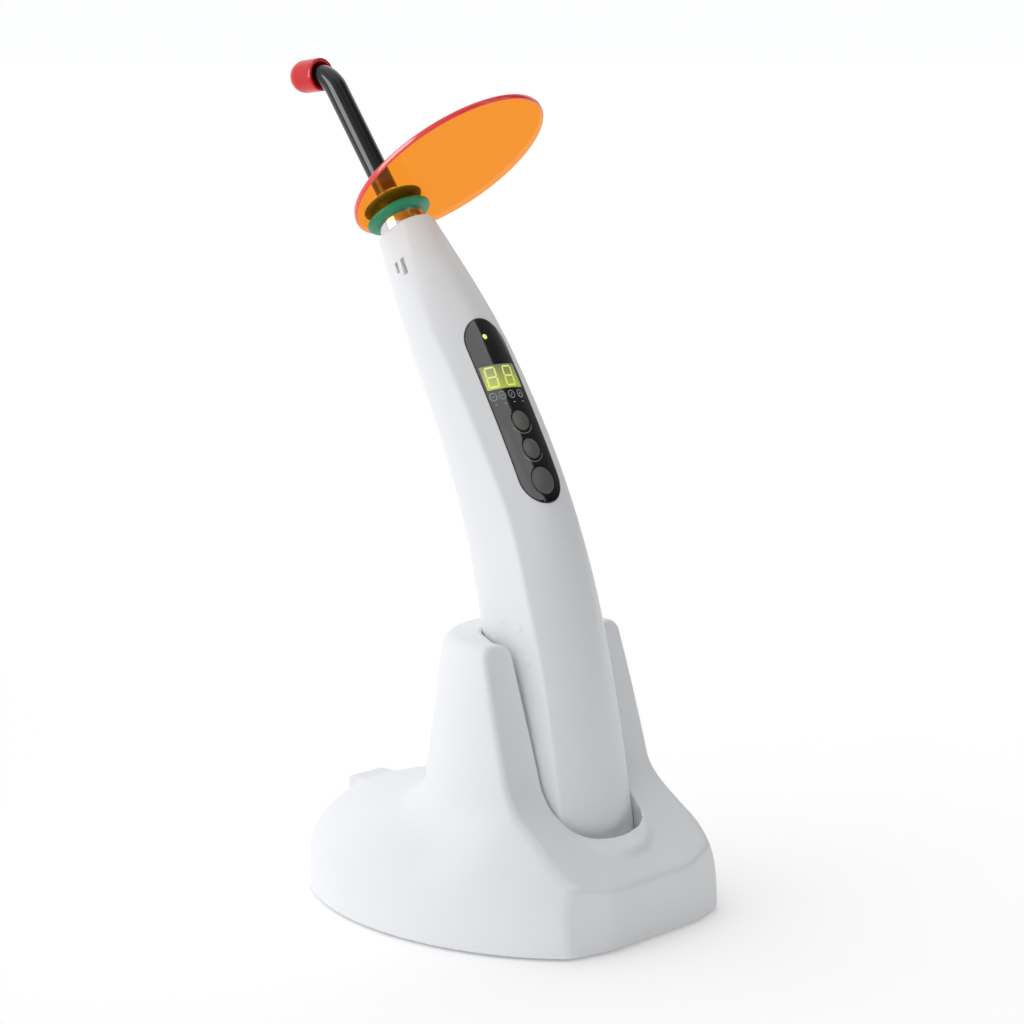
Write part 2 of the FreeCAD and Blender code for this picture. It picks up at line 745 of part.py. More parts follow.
def charge_terminals():
    compound("charge_terminals", [
        cylinder(name, "Dimensions.terminal_radius", "Dimensions.terminal_thick",
                 foot_frame.multiply(shift(terminal_x, side * size("pin_py"),
                                           TERMINAL_RECESS)))
        for name, side in (("terminal_a", 1), ("terminal_b", -1))])


def handle_leads():
    radius = 0.7
    lead_pair("emitter_leads", [(-26.2, 4.0, 197.9), (-25.4, 4.6, 196.0),
                                (-23.4, 5.6, 193.0), (-21.6, 6.0, 190.9)], radius)
    lead_pair("battery_leads", [(9.5, 3.0, 103.5), (8.0, 3.6, 112.0), (5.0, 4.5, 121.0),
                                (3.6, 5.0, 130.0), (7.2, 5.0, 136.2)], radius)


# ---------------------------------------------------------------------------
# light engine in the nose; heights are along the guide axis
# ---------------------------------------------------------------------------
def nose_bush():
    bore, radius = "Dimensions.bush_bore", "Dimensions.bush_radius"
    low, high = -17.0, -2.6
    turned("nose_bush", [(bore, low), (radius, low), (radius, high), (bore, high)],
           guide_frame)


def light_engine():
    turned("collimator_lens", [(0, -22.2), (4.0, -22.2), (6.5, -19.2), (6.5, -17.2),
                               (0, -17.2)], guide_frame)
    turned("led_emitter", [(0, -25.5), (6.3, -25.5), (6.3, -24.0), (2.6, -24.0),
                           (2.2, -23.0), (0, -22.5)], guide_frame)


def heat_sink():
    low, high = -38.0, -25.6
    radius, groove_radius, fin = 6.3, 4.4, 1.4      # fins and grooves are equally high
    points = [(0, low), (radius, low)]
    for step in range(4):
        z = low + 2 * fin * step
        points += [(radius, z + fin), (groove_radius, z + fin),
                   (groove_radius, z + 2 * fin), (radius, z + 2 * fin)]
    turned("heat_sink", points + [(radius, high), (0, high)], guide_frame)


# ---------------------------------------------------------------------------
# light guide: retaining ring, ferrule, sheath, core, tip cap
# ---------------------------------------------------------------------------
RING_Z = -9.0               # retaining ring, in the middle of the ferrule's groove


def retainer_ring():
    ring = doc.addObject("Part::Torus", "ring_torus")
    ring.Radius1 = 6.44
    ring.Radius2 = 0.54
    ring.Placement = guide_frame.multiply(shift(0, 0, RING_Z))
    node(ring, "retainer_ring")


def guide_ferrule():
    collar = "Dimensions.ferrule_radius"
    plug = "Dimensions.ferrule_plug_radius"
    neck = "Dimensions.ferrule_neck_radius"
    bore, groove_radius, groove_half = 4.05, 5.85, 0.6
    turned("guide_ferrule", [
        (bore, -16.0), (plug + " - 0.6", -16.0), (plug, -15.4), (plug, RING_Z - groove_half),
        (groove_radius, RING_Z - groove_half), (groove_radius, RING_Z + groove_half),
        (plug, RING_Z + groove_half), (plug, -2.0), (collar, -2.0), (collar, 6.4),
        (collar + " - 0.6", 7.0), (neck, 7.0), (neck, 14.6), (4.9, 16.6), (bore, 16.6)],
        guide_frame)


def guide_pipe(label, outer_radius, bore_radius=None):
    """A round bar or tube along the guide's bent axis."""
    body = new_body(label, guide_frame)
    path = new_sketch(body, label + "_path", "XZ_Plane")
    bend = math.radians(size("guide_bend"))
    bend_radius = size("guide_bend_radius")
    tangent = bend_radius * math.tan(bend / 2)
    start, vertex = size("guide_start"), Vector(0, size("guide_vertex"), 0)
    direction = Vector(-math.sin(bend), math.cos(bend), 0)
    bend_start = Vector(0, vertex.y - tangent, 0)
    bend_middle = bend_start + Vector(bend_radius * (math.cos(bend / 2) - 1),
                                      bend_radius * math.sin(bend / 2), 0)
    bend_end = vertex + direction * tangent
    end = vertex + direction * size("guide_after_vertex")
    path.addGeometry(Part.LineSegment(Vector(0, start, 0), bend_start), False)
    path.addGeometry(Part.Arc(bend_start, bend_middle, bend_end), False)
    path.addGeometry(Part.LineSegment(bend_end, end), False)
    constrain(path, "Tangent", 0, 2, 1, 1)
    constrain(path, "Tangent", 1, 2, 2, 1)
    constrain(path, "PointOnObject", 0, 1, -2)
    constrain(path, "Vertical", 0)
    measure(path, "DistanceY", (-1, 1, 0, 1), "Dimensions.guide_start")
    measure(path, "Radius", (1,), "Dimensions.guide_bend_radius")

    def sweep(kind, ring_name, radius, name):
        ring = new_sketch(body, ring_name, "XY_Plane", "Dimensions.guide_start")
        circle(ring, radius)
        pipe = body.newObject(kind, name)
        pipe.Profile = ring
        pipe.Spine = (path, ["Edge1", "Edge2", "Edge3"])

    sweep("PartDesign::AdditivePipe", label + "_ring", outer_radius, label + "_swept")
    if bore_radius:
        sweep("PartDesign::SubtractivePipe", label + "_bore", bore_radius,
              label + "_bore_swept")


def tip_cap():
    tilt = size("guide_tilt") + size("guide_bend")
    direction = Vector(-math.sin(math.radians(tilt)), 0, math.cos(math.radians(tilt)))
    vertex = guide_frame.multVec(Vector(0, 0, size("guide_vertex")))
    rim = vertex + direction * size("cap_rim_from_vertex")
    radius, bore = "Dimensions.cap_radius", "Dimensions.cap_bore"
    bore_end = 10.4
    turned("tip_cap", [
        (bore + " + 0.55", 0), (radius + " - 0.3", 0), (radius, 0.4), (radius, 8.2),
        (radius + " * 0.92", 10.6), (radius + " * 0.7", 12.5), (radius + " * 0.38", 13.7),
        (0, "Dimensions.cap_length"), (0, bore_end), (bore, bore_end), (bore, 5.4),
        (bore + " + 0.55", 4.6)], tilted(rim.x, rim.z, -tilt))


# ---------------------------------------------------------------------------
# eye shield and grommet
# ---------------------------------------------------------------------------
def eye_shield():
    turn = Rotation(UP, size("shield_turn"))
    roll = Rotation(Vector(1, 0, 0), size("shield_roll"))
    pitch = Rotation(Vector(0, 1, 0), size("shield_pitch"))
    local = Placement(Vector(0, 0, size("shield_at")), turn.multiply(roll).multiply(pitch))
    body = new_body("eye_shield", guide_frame.multiply(local))
    sketch = new_sketch(body, "shield_outline")
    sketch.addGeometry(Part.Ellipse(Vector(size("shield_offset"), 0, 0),
                                    size("shield_long") / 2, size("shield_wide") / 2), False)
    # this adds the long and short axis lines as geometry 1 and 2
    sketch.exposeInternalGeometry(0)
    measure(sketch, "Distance", (1,), "Dimensions.shield_long")
    measure(sketch, "Distance", (2,), "Dimensions.shield_wide")
    constrain(sketch, "Horizontal", 1)
    constrain(sketch, "PointOnObject", 0, 3, -1)
    measure(sketch, "DistanceX", (-1, 1, 0, 3), "Dimensions.shield_offset")
    circle(sketch, "Dimensions.shield_hole")
    plate = pad(body, sketch, "Dimensions.shield_thick", "shield_plate", midplane=True)
    doc.recompute()         # the fillet picks edges of the finished plate
    # only the oval's two edges are this long
    rim_edges = ["Edge%d" % number for number, edge in enumerate(plate.Shape.Edges, 1)
                 if edge.Length > 100]
    rim = body.newObject("PartDesign::Fillet", "shield_rim")
    rim.Base = (plate, rim_edges)
    rim.Radius = 0.8


def shield_grommet():
    radius, bore = "Dimensions.grommet_radius", "Dimensions.grommet_bore"
    # (radius, distance from the shield's plane) of the upper half, neck to bore
    upper = [("Dimensions.grommet_neck", 1.65), (radius + " - 0.2", 1.92), (radius, 2.1),
             (radius, 2.5), (radius + " - 0.6", 2.9), (radius + " - 2.0", 3.1), (bore, 3.1)]
    points = [(r, "Dimensions.shield_at - %s" % z) for r, z in reversed(upper)]
    points += [(r, "Dimensions.shield_at + %s" % z) for r, z in upper]
    turned("shield_grommet", points, guide_frame)


# ---------------------------------------------------------------------------
# cradle surfaces
# ---------------------------------------------------------------------------
# heights of the dome's rings, as parts of its full height
DOME_RINGS = (0.0, 0.2, 0.38, 0.54, 0.68, 0.79, 0.88, 0.94, 0.975)
TOWER_FROM = 30.0           # the tower starts here, on the dome
# (x, z) outline of the region that holds the lip
LIP_OUTLINE = [(40, 10), (70, 10), (70, 24.4), (58.0, 29.3), (45.5, 36.1), (40, 39.0)]

slot_frame = tilted(0, 0, -size("slot_tilt"))   # local X forward, local Z the lifting direction


def slab_below(z):
    return Part.makeBox(300, 300, 100, Vector(-150, -150, z - 100))


def dome(inset):
    height, power = size("dome_top") - inset, size("dome_power")
    wires = []
    for part in DOME_RINGS:
        scale = (1 - part ** power) ** (1 / power)
        ring = Part.Ellipse(Vector(size("dome_px"), 0, height * part),
                            (size("dome_a") - inset) * scale,
                            (size("dome_b") - inset) * scale)
        wires.append(Part.Wire([ring.toShape()]))
    return Part.makeLoft(wires, True, False)


def tower(inset):
    height = size("tower_top") - inset
    cone = Part.makeCone(size("tower_foot_radius") - inset, size("tower_top_radius") - inset,
                         height, Vector(size("tower_px"), 0, 0), UP)
    rim = [edge for edge in cone.Edges if isinstance(edge.Curve, Part.Circle)
           and abs(edge.Curve.Center.z - height) < EPS]
    return cone.makeFillet(size("tower_edge"), rim).cut(slab_below(TOWER_FROM))


def line_crossing(first, second):
    (x1, y1), (x2, y2) = first
    (x3, y3), (x4, y4) = second
    cross = (x1 - x2) * (y3 - y4) - (y1 - y2) * (x3 - x4)
    a = x1 * y2 - y1 * x2
    b = x3 * y4 - y3 * x4
    return ((a * (x3 - x4) - (x1 - x2) * b) / cross, (a * (y3 - y4) - (y1 - y2) * b) / cross)


def front_prism(inset):
    """Everything behind the front profile moved inward by inset."""
    back_x, half_width, bottom = -150, 90, -20
    knee_radius, lip_radius = 9.0, 3.0
    foot_x, brow_x, brow_z = size("front_foot_px"), size("brow_px"), size("brow_pz")
    profile = [(foot_x, bottom), (foot_x, 0.0), (size("front_lip_px"), size("front_lip_pz")),
               (size("knee_px"), size("knee_pz")), (brow_x, brow_z),
               (brow_x - 8.0, brow_z + 28.75)]
    lines = []
    for (x1, z1), (x2, z2) in zip(profile[:-1], profile[1:]):
        along = Vector(x2 - x1, 0, z2 - z1).normalize()
        dx, dz = -along.z * inset, along.x * inset
        lines.append(((x1 + dx, z1 + dz), (x2 + dx, z2 + dz)))
    corners = [line_crossing(low, high) for low, high in zip(lines[:-1], lines[1:])]
    corners = [lines[0][0]] + corners + [lines[-1][1]]
    outline = corners + [(back_x, corners[-1][1]), (back_x, bottom)]
    solid = prism([Vector(x, -half_width, z) for x, z in outline],
                  Vector(0, 2 * half_width, 0))

    def cross_edges():
        return [edge for edge in solid.Edges if abs(edge.Length - 2 * half_width) < EPS]

    bends = []
    for edge in cross_edges():
        start = edge.Vertexes[0].Point
        for (x, z), radius in ((corners[3], knee_radius), (corners[2], lip_radius)):
            if math.hypot(start.x - x, start.z - z) < 0.01:
                bends.append((start, radius))
    for start, radius in bends:
        # a bend that can't be rounded stays sharp
        try:
            solid = solid.makeFillet(radius, [
                edge for edge in cross_edges()
                if edge.Vertexes[0].Point.distanceToPoint(start) < 1e-3])
        except Exception:
            pass
    return solid


def facet_prism(inset):
    """Plan outline with two slanted facets beside the flat front."""
    front_x = size("front_foot_px") - inset
    inner_y = size("facet_inner") - inset * 0.14
    outer_x = size("facet_outer_px") - inset * 1.05
    outer_y = size("facet_outer")
    outline = [(-150, -outer_y), (outer_x, -outer_y), (front_x, -inner_y),
               (front_x, inner_y), (outer_x, outer_y), (-150, outer_y)]
    return prism([Vector(x, y, -10) for x, y in outline], Vector(0, 0, 140))


def bow_prism(back, corner, front, half, floor, height):
    """An upright prism, straight at the back and sides and bowed at the front."""
    def point(x, y):
        return Vector(x, y, floor)

    edges = [Part.makeLine(point(back, -half), point(corner, -half)),
             Part.Arc(point(corner, -half), point(front, 0), point(corner, half)).toShape(),
             Part.makeLine(point(corner, half), point(back, half)),
             Part.makeLine(point(back, half), point(back, -half))]
    return Part.Face(Part.Wire(edges)).extrude(Vector(0, 0, height))


def upright_edges(solid, height, x):
    return [edge for edge in solid.Edges if abs(edge.Length - height) < EPS
            and abs(edge.Vertexes[0].X - x) < EPS]


def slot_prism(grow, floor):
    """The handle's slot, larger by grow all round."""
    height = 160.0 - floor
    back = size("slot_back") - grow
    corner = size("slot_corner") + grow * 0.4
    solid = bow_prism(back, corner, size("slot_front") + grow, size("slot_half") + grow,
                      floor, height)
    solid = solid.makeFillet(9.0 + grow, upright_edges(solid, height, back))
    solid = solid.makeFillet(4.5 + grow, upright_edges(solid, height, corner))
    return placed(solid, slot_frame)


def slot_lip():
    """Crescent lip round the front of the slot."""
    height, corner = 60, size("lip_corner")
    lip = bow_prism(44, corner, size("lip_front"), size("lip_half"), 20, height)
    lip = lip.makeFillet(7.0, upright_edges(lip, height, corner))
    region = prism([Vector(x, -40, z) for x, z in LIP_OUTLINE], Vector(0, 80, 0))
    return placed(lip, slot_frame).common(region)


# ---------------------------------------------------------------------------
# cradle housing
# ---------------------------------------------------------------------------
rim_z = size("base_rim")
cover_top = rim_z + size("cover_thick")
base_wall = size("base_wall")
jack_x, jack_half, jack_top = size("jack_px"), size("jack_half"), size("jack_top")
JACK_WALL = 2.0
RECESS_FLOOR = 7.0          # floor of the recess behind the socket block

cover_screw_x, cover_screw_y = size("cover_screw_px"), size("cover_screw_py")
cover_screw_places = [(-cover_screw_x, cover_screw_y), (-cover_screw_x, -cover_screw_y),
                      (cover_screw_x - 2.0, cover_screw_y + 2.0),
                      (cover_screw_x - 2.0, -cover_screw_y - 2.0)]
foot_places = [(-size("foot_back_px"), size("foot_back_py")),
               (-size("foot_back_px"), -size("foot_back_py")),
               (size("foot_front_px"), size("foot_front_py")),
               (size("foot_front_px"), -size("foot_front_py")),
               (0.0, 0.0)]


def socket_block():
    """Raised block at the back; its edge inside the dome stays sharp."""
    length, bottom = 30, 4
    block = Part.makeBox(length, 2 * jack_half, jack_top - bottom,
                         Vector(jack_x, -jack_half, bottom))

    def both_ends(edge, axis, value):
        return all(abs(getattr(edge.Vertexes[i], axis) - value) < EPS for i in (0, -1))

    return block.makeFillet(1.2, [edge for edge in block.Edges
                                  if both_ends(edge, "Z", jack_top)
                                  and not both_ends(edge, "X", jack_x + length)])


def outer_cradle():
    outer = dome(0.0).cut(slab_below(rim_z)).fuse(tower(0.0))
    outer = outer.common(front_prism(0.0)).common(facet_prism(0.0))
    outer = outer.fuse(slot_lip()).fuse(socket_block())
    recess = Part.makeBox(20, 2 * jack_half, 40, Vector(jack_x - 20, -jack_half, RECESS_FLOOR))
    return outer.cut(recess)


def inner_cradle():
    """The room inside the housing, less the walls of the slot and of the recess."""
    inner = dome(base_wall).fuse(tower(base_wall))
    inner = inner.common(front_prism(base_wall)).common(facet_prism(base_wall))
    room_bottom = RECESS_FLOOR + JACK_WALL
    inner = inner.fuse(Part.makeBox(
        26, 2 * (jack_half - JACK_WALL), jack_top - JACK_WALL - room_bottom,
        Vector(jack_x + JACK_WALL, -jack_half + JACK_WALL, room_bottom)))
    recess_length = 21
    inner = inner.cut(Part.makeBox(
        recess_length, 2 * (jack_half + JACK_WALL), 45,
        Vector(jack_x + JACK_WALL - recess_length, -jack_half - JACK_WALL,
               RECESS_FLOOR - JACK_WALL)))
    return inner.cut(slot_prism(size("slot_wall"), size("slot_floor") - size("slot_wall")))


def largest(shape):
    return max(shape.Solids, key=lambda solid: solid.Volume)


def base_housing():
    boss_radius, pilot_radius, pin_hole_radius, socket_radius = 4.0, 1.25, 1.7, 4.1
    inner = inner_cradle()
    housing = outer_cradle().cut(slot_prism(0.0, size("slot_floor"))).cut(inner)
    for x, y in cover_screw_places:
        boss = upright_cylinder(boss_radius, 60, x, y, cover_top + 0.05).common(inner)
        housing = housing.fuse(largest(boss))
    for x, y in cover_screw_places:
        housing = housing.cut(upright_cylinder(pilot_radius, 12, x, y, cover_top))
    # contact pins pass the floor of the slot
    for side in BOTH_SIDES:
        housing = housing.cut(upright_cylinder(pin_hole_radius, 40, size("pin_px"),
                                               side * size("pin_py"), 0))
    housing = housing.cut(Part.makeCylinder(
        socket_radius, 12, Vector(jack_x - 4, 0, size("jack_pz")), Vector(1, 0, 0)))
    housing = housing.removeSplitter()
    if len(housing.Solids) > 1:
        housing = largest(housing)
    feature("base_housing", housing)


def base_cover():
    """Bottom cover, inside the housing's rim."""
    gap = 0.5
    outline = Part.Ellipse(Vector(size("dome_px"), 0, rim_z),
                           size("dome_a") - base_wall - gap,
                           size("dome_b") - base_wall - gap)
    cover = Part.Face(Part.Wire([outline.toShape()]))
    cover = cover.extrude(Vector(0, 0, size("cover_thick")))
    cover = cover.common(facet_prism(base_wall + 0.3))
    below = rim_z - 0.1
    for x, y in cover_screw_places:
        cover = cover.cut(upright_cylinder(size("cover_screw_radius") + 0.15, 10, x, y, -1))
        cover = cover.cut(upright_cylinder(3.0, 1.1, x, y, below))
    for x, y in foot_places:
        cover = cover.cut(upright_cylinder(size("foot_radius") + 0.1, 0.9, x, y, below))
    feature("base_cover", cover)


def rubber_feet():
    compound("rubber_feet", [
        cylinder("foot%d" % number, "Dimensions.foot_radius", "Dimensions.foot_height",
                 shift(x, y, 0))
        for number, (x, y) in enumerate(foot_places, 1)])


def cover_screws():
    compound("cover_screws", [
        screw("cover_screw", number, shift(x, y, rim_z), head_radius=2.8, head_height=0.95,
              head_z=0.02, shaft_radius=1.2, shaft_z=0.5)
        for number, (x, y) in enumerate(cover_screw_places, 1)])


# ---------------------------------------------------------------------------
# inside the cradle: ballast, charging board, contact pins, power jack
# ---------------------------------------------------------------------------
CHARGING_THICK = 1.6
PART_GAP = 0.02
charging_z = cover_top + 1.6
charging_top = charging_z + CHARGING_THICK

# Parts on the charging board: name, corner x and y, side, height.
CHARGING_PARTS = [("charge_chip", 36.0, -3.5, 7, 1.6),
                  ("charge_coil", 33.0, 9.0, 8, 4.0),
                  ("charge_cap", 36.0, -15.0, 5, 3.0)]

guide_bottom = charging_top + PART_GAP
pin_bottom = guide_bottom + 3.2


def ballast_plate():
    block_body("ballast_plate", shift(-22.0, 0, cover_top + 0.05), "ballast_outline",
               42, 66, 6, "ballast_block")


def charging_board():
    body = block_body("charging_board", shift(28.0, 0, charging_z), "charging_outline",
                      36, 44, CHARGING_THICK, "charging_plate")
    sketch = new_sketch(body, "charging_holes")
    for x in (14.0, -14.0):
        for y in (17.0, -17.0):
            circle(sketch, 1.6, x, y)
    pocket_through(body, sketch, "charging_hole_cut")
    compound("charging_parts", [
        box(name, side, side, height, shift(x, y, charging_top + PART_GAP))
        for name, x, y, side, height in CHARGING_PARTS])


def pin_guide():
    """Block between the charging board and the underside of the slot floor."""
    slot_tilt = math.radians(size("slot_tilt"))
    underside = ((size("slot_floor") - size("slot_wall")) / math.cos(slot_tilt)
                 + size("pin_px") * math.tan(slot_tilt))
    top_gap = 1.4
    body = block_body("pin_guide", shift(size("pin_px"), 0, guide_bottom),
                      "pin_guide_outline", 7, 22, underside - top_gap - guide_bottom,
                      "pin_guide_block")
    sketch = new_sketch(body, "pin_guide_bores")
    circle(sketch, "Dimensions.pin_bore", 0.0, "Dimensions.pin_py")
    circle(sketch, "Dimensions.pin_bore", 0.0, "-Dimensions.pin_py")
    pocket_through(body, sketch, "pin_guide_bore_cut")


def contact_pins():
    """Pins that end just below the charge terminals."""
    foot_z = (foot_station["pz"]
              + (size("pin_px") - foot_station["px"]) * math.tan(foot_tilt))
    terminal_z = foot_z + TERMINAL_RECESS / math.cos(foot_tilt)
    top = terminal_z - size("pin_radius") * math.tan(foot_tilt) - 0.05
    length = top - pin_bottom
    radius = "Dimensions.pin_radius"
    for label, side in (("contact_pin_left", -1), ("contact_pin_right", 1)):
        turned(label, [(0, 0), (radius, 0), (radius, length - 0.5),
                       (radius + " - 0.4", length), (0, length)],
               shift(size("pin_px"), side * size("pin_py"), pin_bottom))


def contact_springs():
    coil_radius, wire_radius, turns = 0.9, 0.15, 5
    end_gap = 0.25
    height = pin_bottom - guide_bottom - 2 * end_gap
    for label, side in (("contact_spring_left", -1), ("contact_spring_right", 1)):
        helix = Part.makeHelix(height / turns, height, coil_radius)
        ring = Part.Wire([Part.makeCircle(wire_radius, Vector(coil_radius, 0, 0),
                                          Vector(0, 1, 0))])
        feature(label, Part.Wire(helix.Edges).makePipeShell([ring], True, True),
                shift(size("pin_px"), side * size("pin_py"), guide_bottom + end_gap))


def power_jack():
    """Jack inside the socket block; its local Z points forward."""
    mouth_depth = 9.5
    frame = tilted(jack_x + JACK_WALL + 0.1, size("jack_pz"), 90)
    body = block_body("power_jack", frame, "jack_outline", 9, 9, 13, "jack_block")
    sketch = new_sketch(body, "jack_mouth")
    circle(sketch, "Dimensions.jack_bore")
    mouth = body.newObject("PartDesign::Pocket", "jack_mouth_cut")
    mouth.Profile = sketch
    mouth.Length = mouth_depth
    mouth.Reversed = True
    sketch = new_sketch(body, "jack_pin", "XY_Plane", mouth_depth)
    circle(sketch, 1.0)
    pad(body, sketch, 8.5, "jack_pin_pad", reverse=True)


def jack_leads():
    lead_pair("jack_leads", [(jack_x + 15.4, 2.6, size("jack_pz")), (-52.0, 6.0, 17.0),
                             (-40.0, 10.0, 13.0), (-20.0, 14.0, 12.0), (0.0, 15.0, 11.5),
                             (14.0, 14.0, charging_top + 1.2)], 0.8)


# ---------------------------------------------------------------------------
# build, check and export
# ---------------------------------------------------------------------------
def build_handle():
    handle_front_shell()
    handle_rear_shell()
    air_slot_inserts()
    control_panel()
    display_window()
    display_module()
    power_indicator()
    mode_indicators()
    buttons()
    main_board()
    tactile_switches()
    board_parts()
    battery()
    charge_terminals()
    nose_bush()
    light_engine()
    heat_sink()
    retainer_ring()
    guide_ferrule()
    guide_pipe("guide_sheath", "Dimensions.sheath_radius", "Dimensions.core_radius + 0.05")
    guide_pipe("guide_core", "Dimensions.core_radius")
    tip_cap()
    eye_shield()
    shield_grommet()
    shell_screws()
    handle_leads()


def build_cradle():
    base_housing()
    base_cover()
    rubber_feet()
    cover_screws()
    ballast_plate()
    charging_board()
    pin_guide()
    contact_pins()
    contact_springs()
    power_jack()
    jack_leads()


def check():
    failed = []
    for obj in doc.Objects:
        state = [str(entry) for entry in obj.State]
        if "Invalid" in state or "Error" in state:
            failed.append((obj.Name, state))
    for label, obj in nodes:
        shape = obj.Shape
        if shape.isNull() or not shape.isValid() or not shape.Solids:
            failed.append((label, "null or invalid shape"))
    if failed:
        raise RuntimeError("failed objects: %s" % failed)


def export():
    os.makedirs("parts", exist_ok=True)
    for name in os.listdir("parts"):
        if name.endswith(".step"):
            os.remove(os.path.join("parts", name))
    for label, obj in nodes:
        obj.Shape.exportStep(os.path.join("parts", label + ".step"))


build_handle()
build_cradle()
doc.recompute()
check()
export()
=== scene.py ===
"""Looks of a cordless light-guide handpiece standing in its charging cradle.

+Z is up and the cradle stands on z = 0. The handpiece leans in the XZ plane, with its display
towards +X and its nose, light guide and eye shield up and towards -X. The socket block is at
the -X end of the cradle. Everything but the shield is mirrored about y = 0, apart from small
marks on the panel. Lengths are millimetres unless a comment says metres.
"""
import bpy
import bmesh
import functools
import math
import numpy as np
from collections import namedtuple
from mathutils import Vector, Matrix


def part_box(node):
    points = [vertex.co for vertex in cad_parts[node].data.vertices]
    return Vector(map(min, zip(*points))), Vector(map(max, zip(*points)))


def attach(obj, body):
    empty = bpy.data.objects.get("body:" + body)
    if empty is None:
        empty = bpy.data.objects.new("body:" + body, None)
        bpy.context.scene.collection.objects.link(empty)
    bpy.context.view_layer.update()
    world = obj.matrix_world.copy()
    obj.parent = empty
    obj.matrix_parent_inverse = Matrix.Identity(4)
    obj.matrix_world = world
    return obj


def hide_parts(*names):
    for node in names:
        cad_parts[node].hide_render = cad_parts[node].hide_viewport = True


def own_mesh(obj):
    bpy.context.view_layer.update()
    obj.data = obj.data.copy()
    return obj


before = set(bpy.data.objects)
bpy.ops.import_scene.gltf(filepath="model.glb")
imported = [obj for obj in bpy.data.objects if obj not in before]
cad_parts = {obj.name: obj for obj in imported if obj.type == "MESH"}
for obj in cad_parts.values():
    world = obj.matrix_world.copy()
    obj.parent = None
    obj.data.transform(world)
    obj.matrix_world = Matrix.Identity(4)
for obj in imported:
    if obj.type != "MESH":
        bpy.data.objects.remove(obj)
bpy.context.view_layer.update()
MM = 0.001
scene = bpy.context.scene
MIRROR = np.array([1, -1])      # flips y in (normal, y) outlines

# ---------------------------------------------------------------------------
# materials
# ---------------------------------------------------------------------------
# sockets of the Mix node that share a name and so go by number
MIX_FACTOR, MIX_FLOAT_A, MIX_FLOAT_B, MIX_COLOUR_A, MIX_COLOUR_B = 0, 2, 3, 6, 7
MIX_FLOAT_OUT, MIX_COLOUR_OUT = 0, 2


def srgb(red, green, blue):
    def linear(value):
        value = value / 255.0
        return value / 12.92 if value <= 0.04045 else ((value + 0.055) / 1.055) ** 2.4
    return (linear(red), linear(green), linear(blue), 1.0)


def add_node(tree, kind, inputs=None, **settings):
    """New shader node; an input given as a socket is linked, any other is set as a value."""
    made = tree.nodes.new("ShaderNode" + kind)
    for key, value in settings.items():
        setattr(made, key, value)
    for key, value in (inputs or {}).items():
        if isinstance(value, bpy.types.NodeSocket):
            tree.links.new(value, made.inputs[key])
        else:
            made.inputs[key].default_value = value
    return made


def colour_ramp(tree, factor, low, high):
    """Ramp between two (position, colour) stops."""
    ramp = add_node(tree, "ValToRGB", {"Fac": factor})
    for element, (position, colour) in zip(ramp.color_ramp.elements, (low, high)):
        element.position = position
        element.color = colour
    return ramp.outputs["Color"]


def empty_material(name):
    mat = bpy.data.materials.new(name)
    mat.use_nodes = True
    mat.node_tree.nodes.clear()
    return mat, mat.node_tree


def material(name, colour, rough, metal=0.0, coat=0.0, coat_rough=0.05, spec=0.5, mottle=0.0,
             mottle_scale=60.0, rough_var=0.0, bump=0.0, bump_scale=400.0, emit=None,
             emit_strength=0.0, sss=0.0):
    """Principled material with optional noise in its colour, roughness and relief."""
    mat, tree = empty_material(name)
    bsdf = add_node(tree, "BsdfPrincipled", {
        "Base Color": colour, "Roughness": rough, "Metallic": metal, "Coat Weight": coat,
        "Coat Roughness": coat_rough, "Specular IOR Level": spec, "IOR": 1.45})
    add_node(tree, "OutputMaterial", {"Surface": bsdf.outputs["BSDF"]})
    coords = add_node(tree, "TexCoord").outputs["Object"]

    def noise(scale, detail):
        made = add_node(tree, "TexNoise", {"Scale": scale, "Detail": detail, "Vector": coords})
        return made.outputs["Fac"]

    if emit:
        bsdf.inputs["Emission Color"].default_value = emit
        bsdf.inputs["Emission Strength"].default_value = emit_strength
    if sss:
        bsdf.inputs["Subsurface Weight"].default_value = sss
        bsdf.inputs["Subsurface Radius"].default_value = (0.002, 0.0015, 0.001)
        bsdf.inputs["Subsurface Scale"].default_value = 1.0
    if mottle:
        dark = 1 - mottle
        shade = colour_ramp(tree, noise(mottle_scale, 3.0),
                            (0.3, (dark, dark, dark, 1)), (0.7, (1, 1, 1, 1)))
        mix = add_node(tree, "MixRGB", {"Color1": colour, "Color2": shade, "Fac": 1.0},
                       blend_type="MULTIPLY")
        tree.links.new(mix.outputs["Color"], bsdf.inputs["Base Color"])
    if rough_var:
        spread = add_node(tree, "MapRange", {
            "To Min": max(0.0, rough - rough_var), "To Max": rough + rough_var,
            "Value": noise(mottle_scale * 2.3, 4.0)})
        tree.links.new(spread.outputs["Result"], bsdf.inputs["Roughness"])
    if bump:
        relief = add_node(tree, "Bump", {"Strength": bump, "Distance": 0.0002,
                                         "Height": noise(bump_scale, 2.0)})
        tree.links.new(relief.outputs["Normal"], bsdf.inputs["Normal"])
    return mat


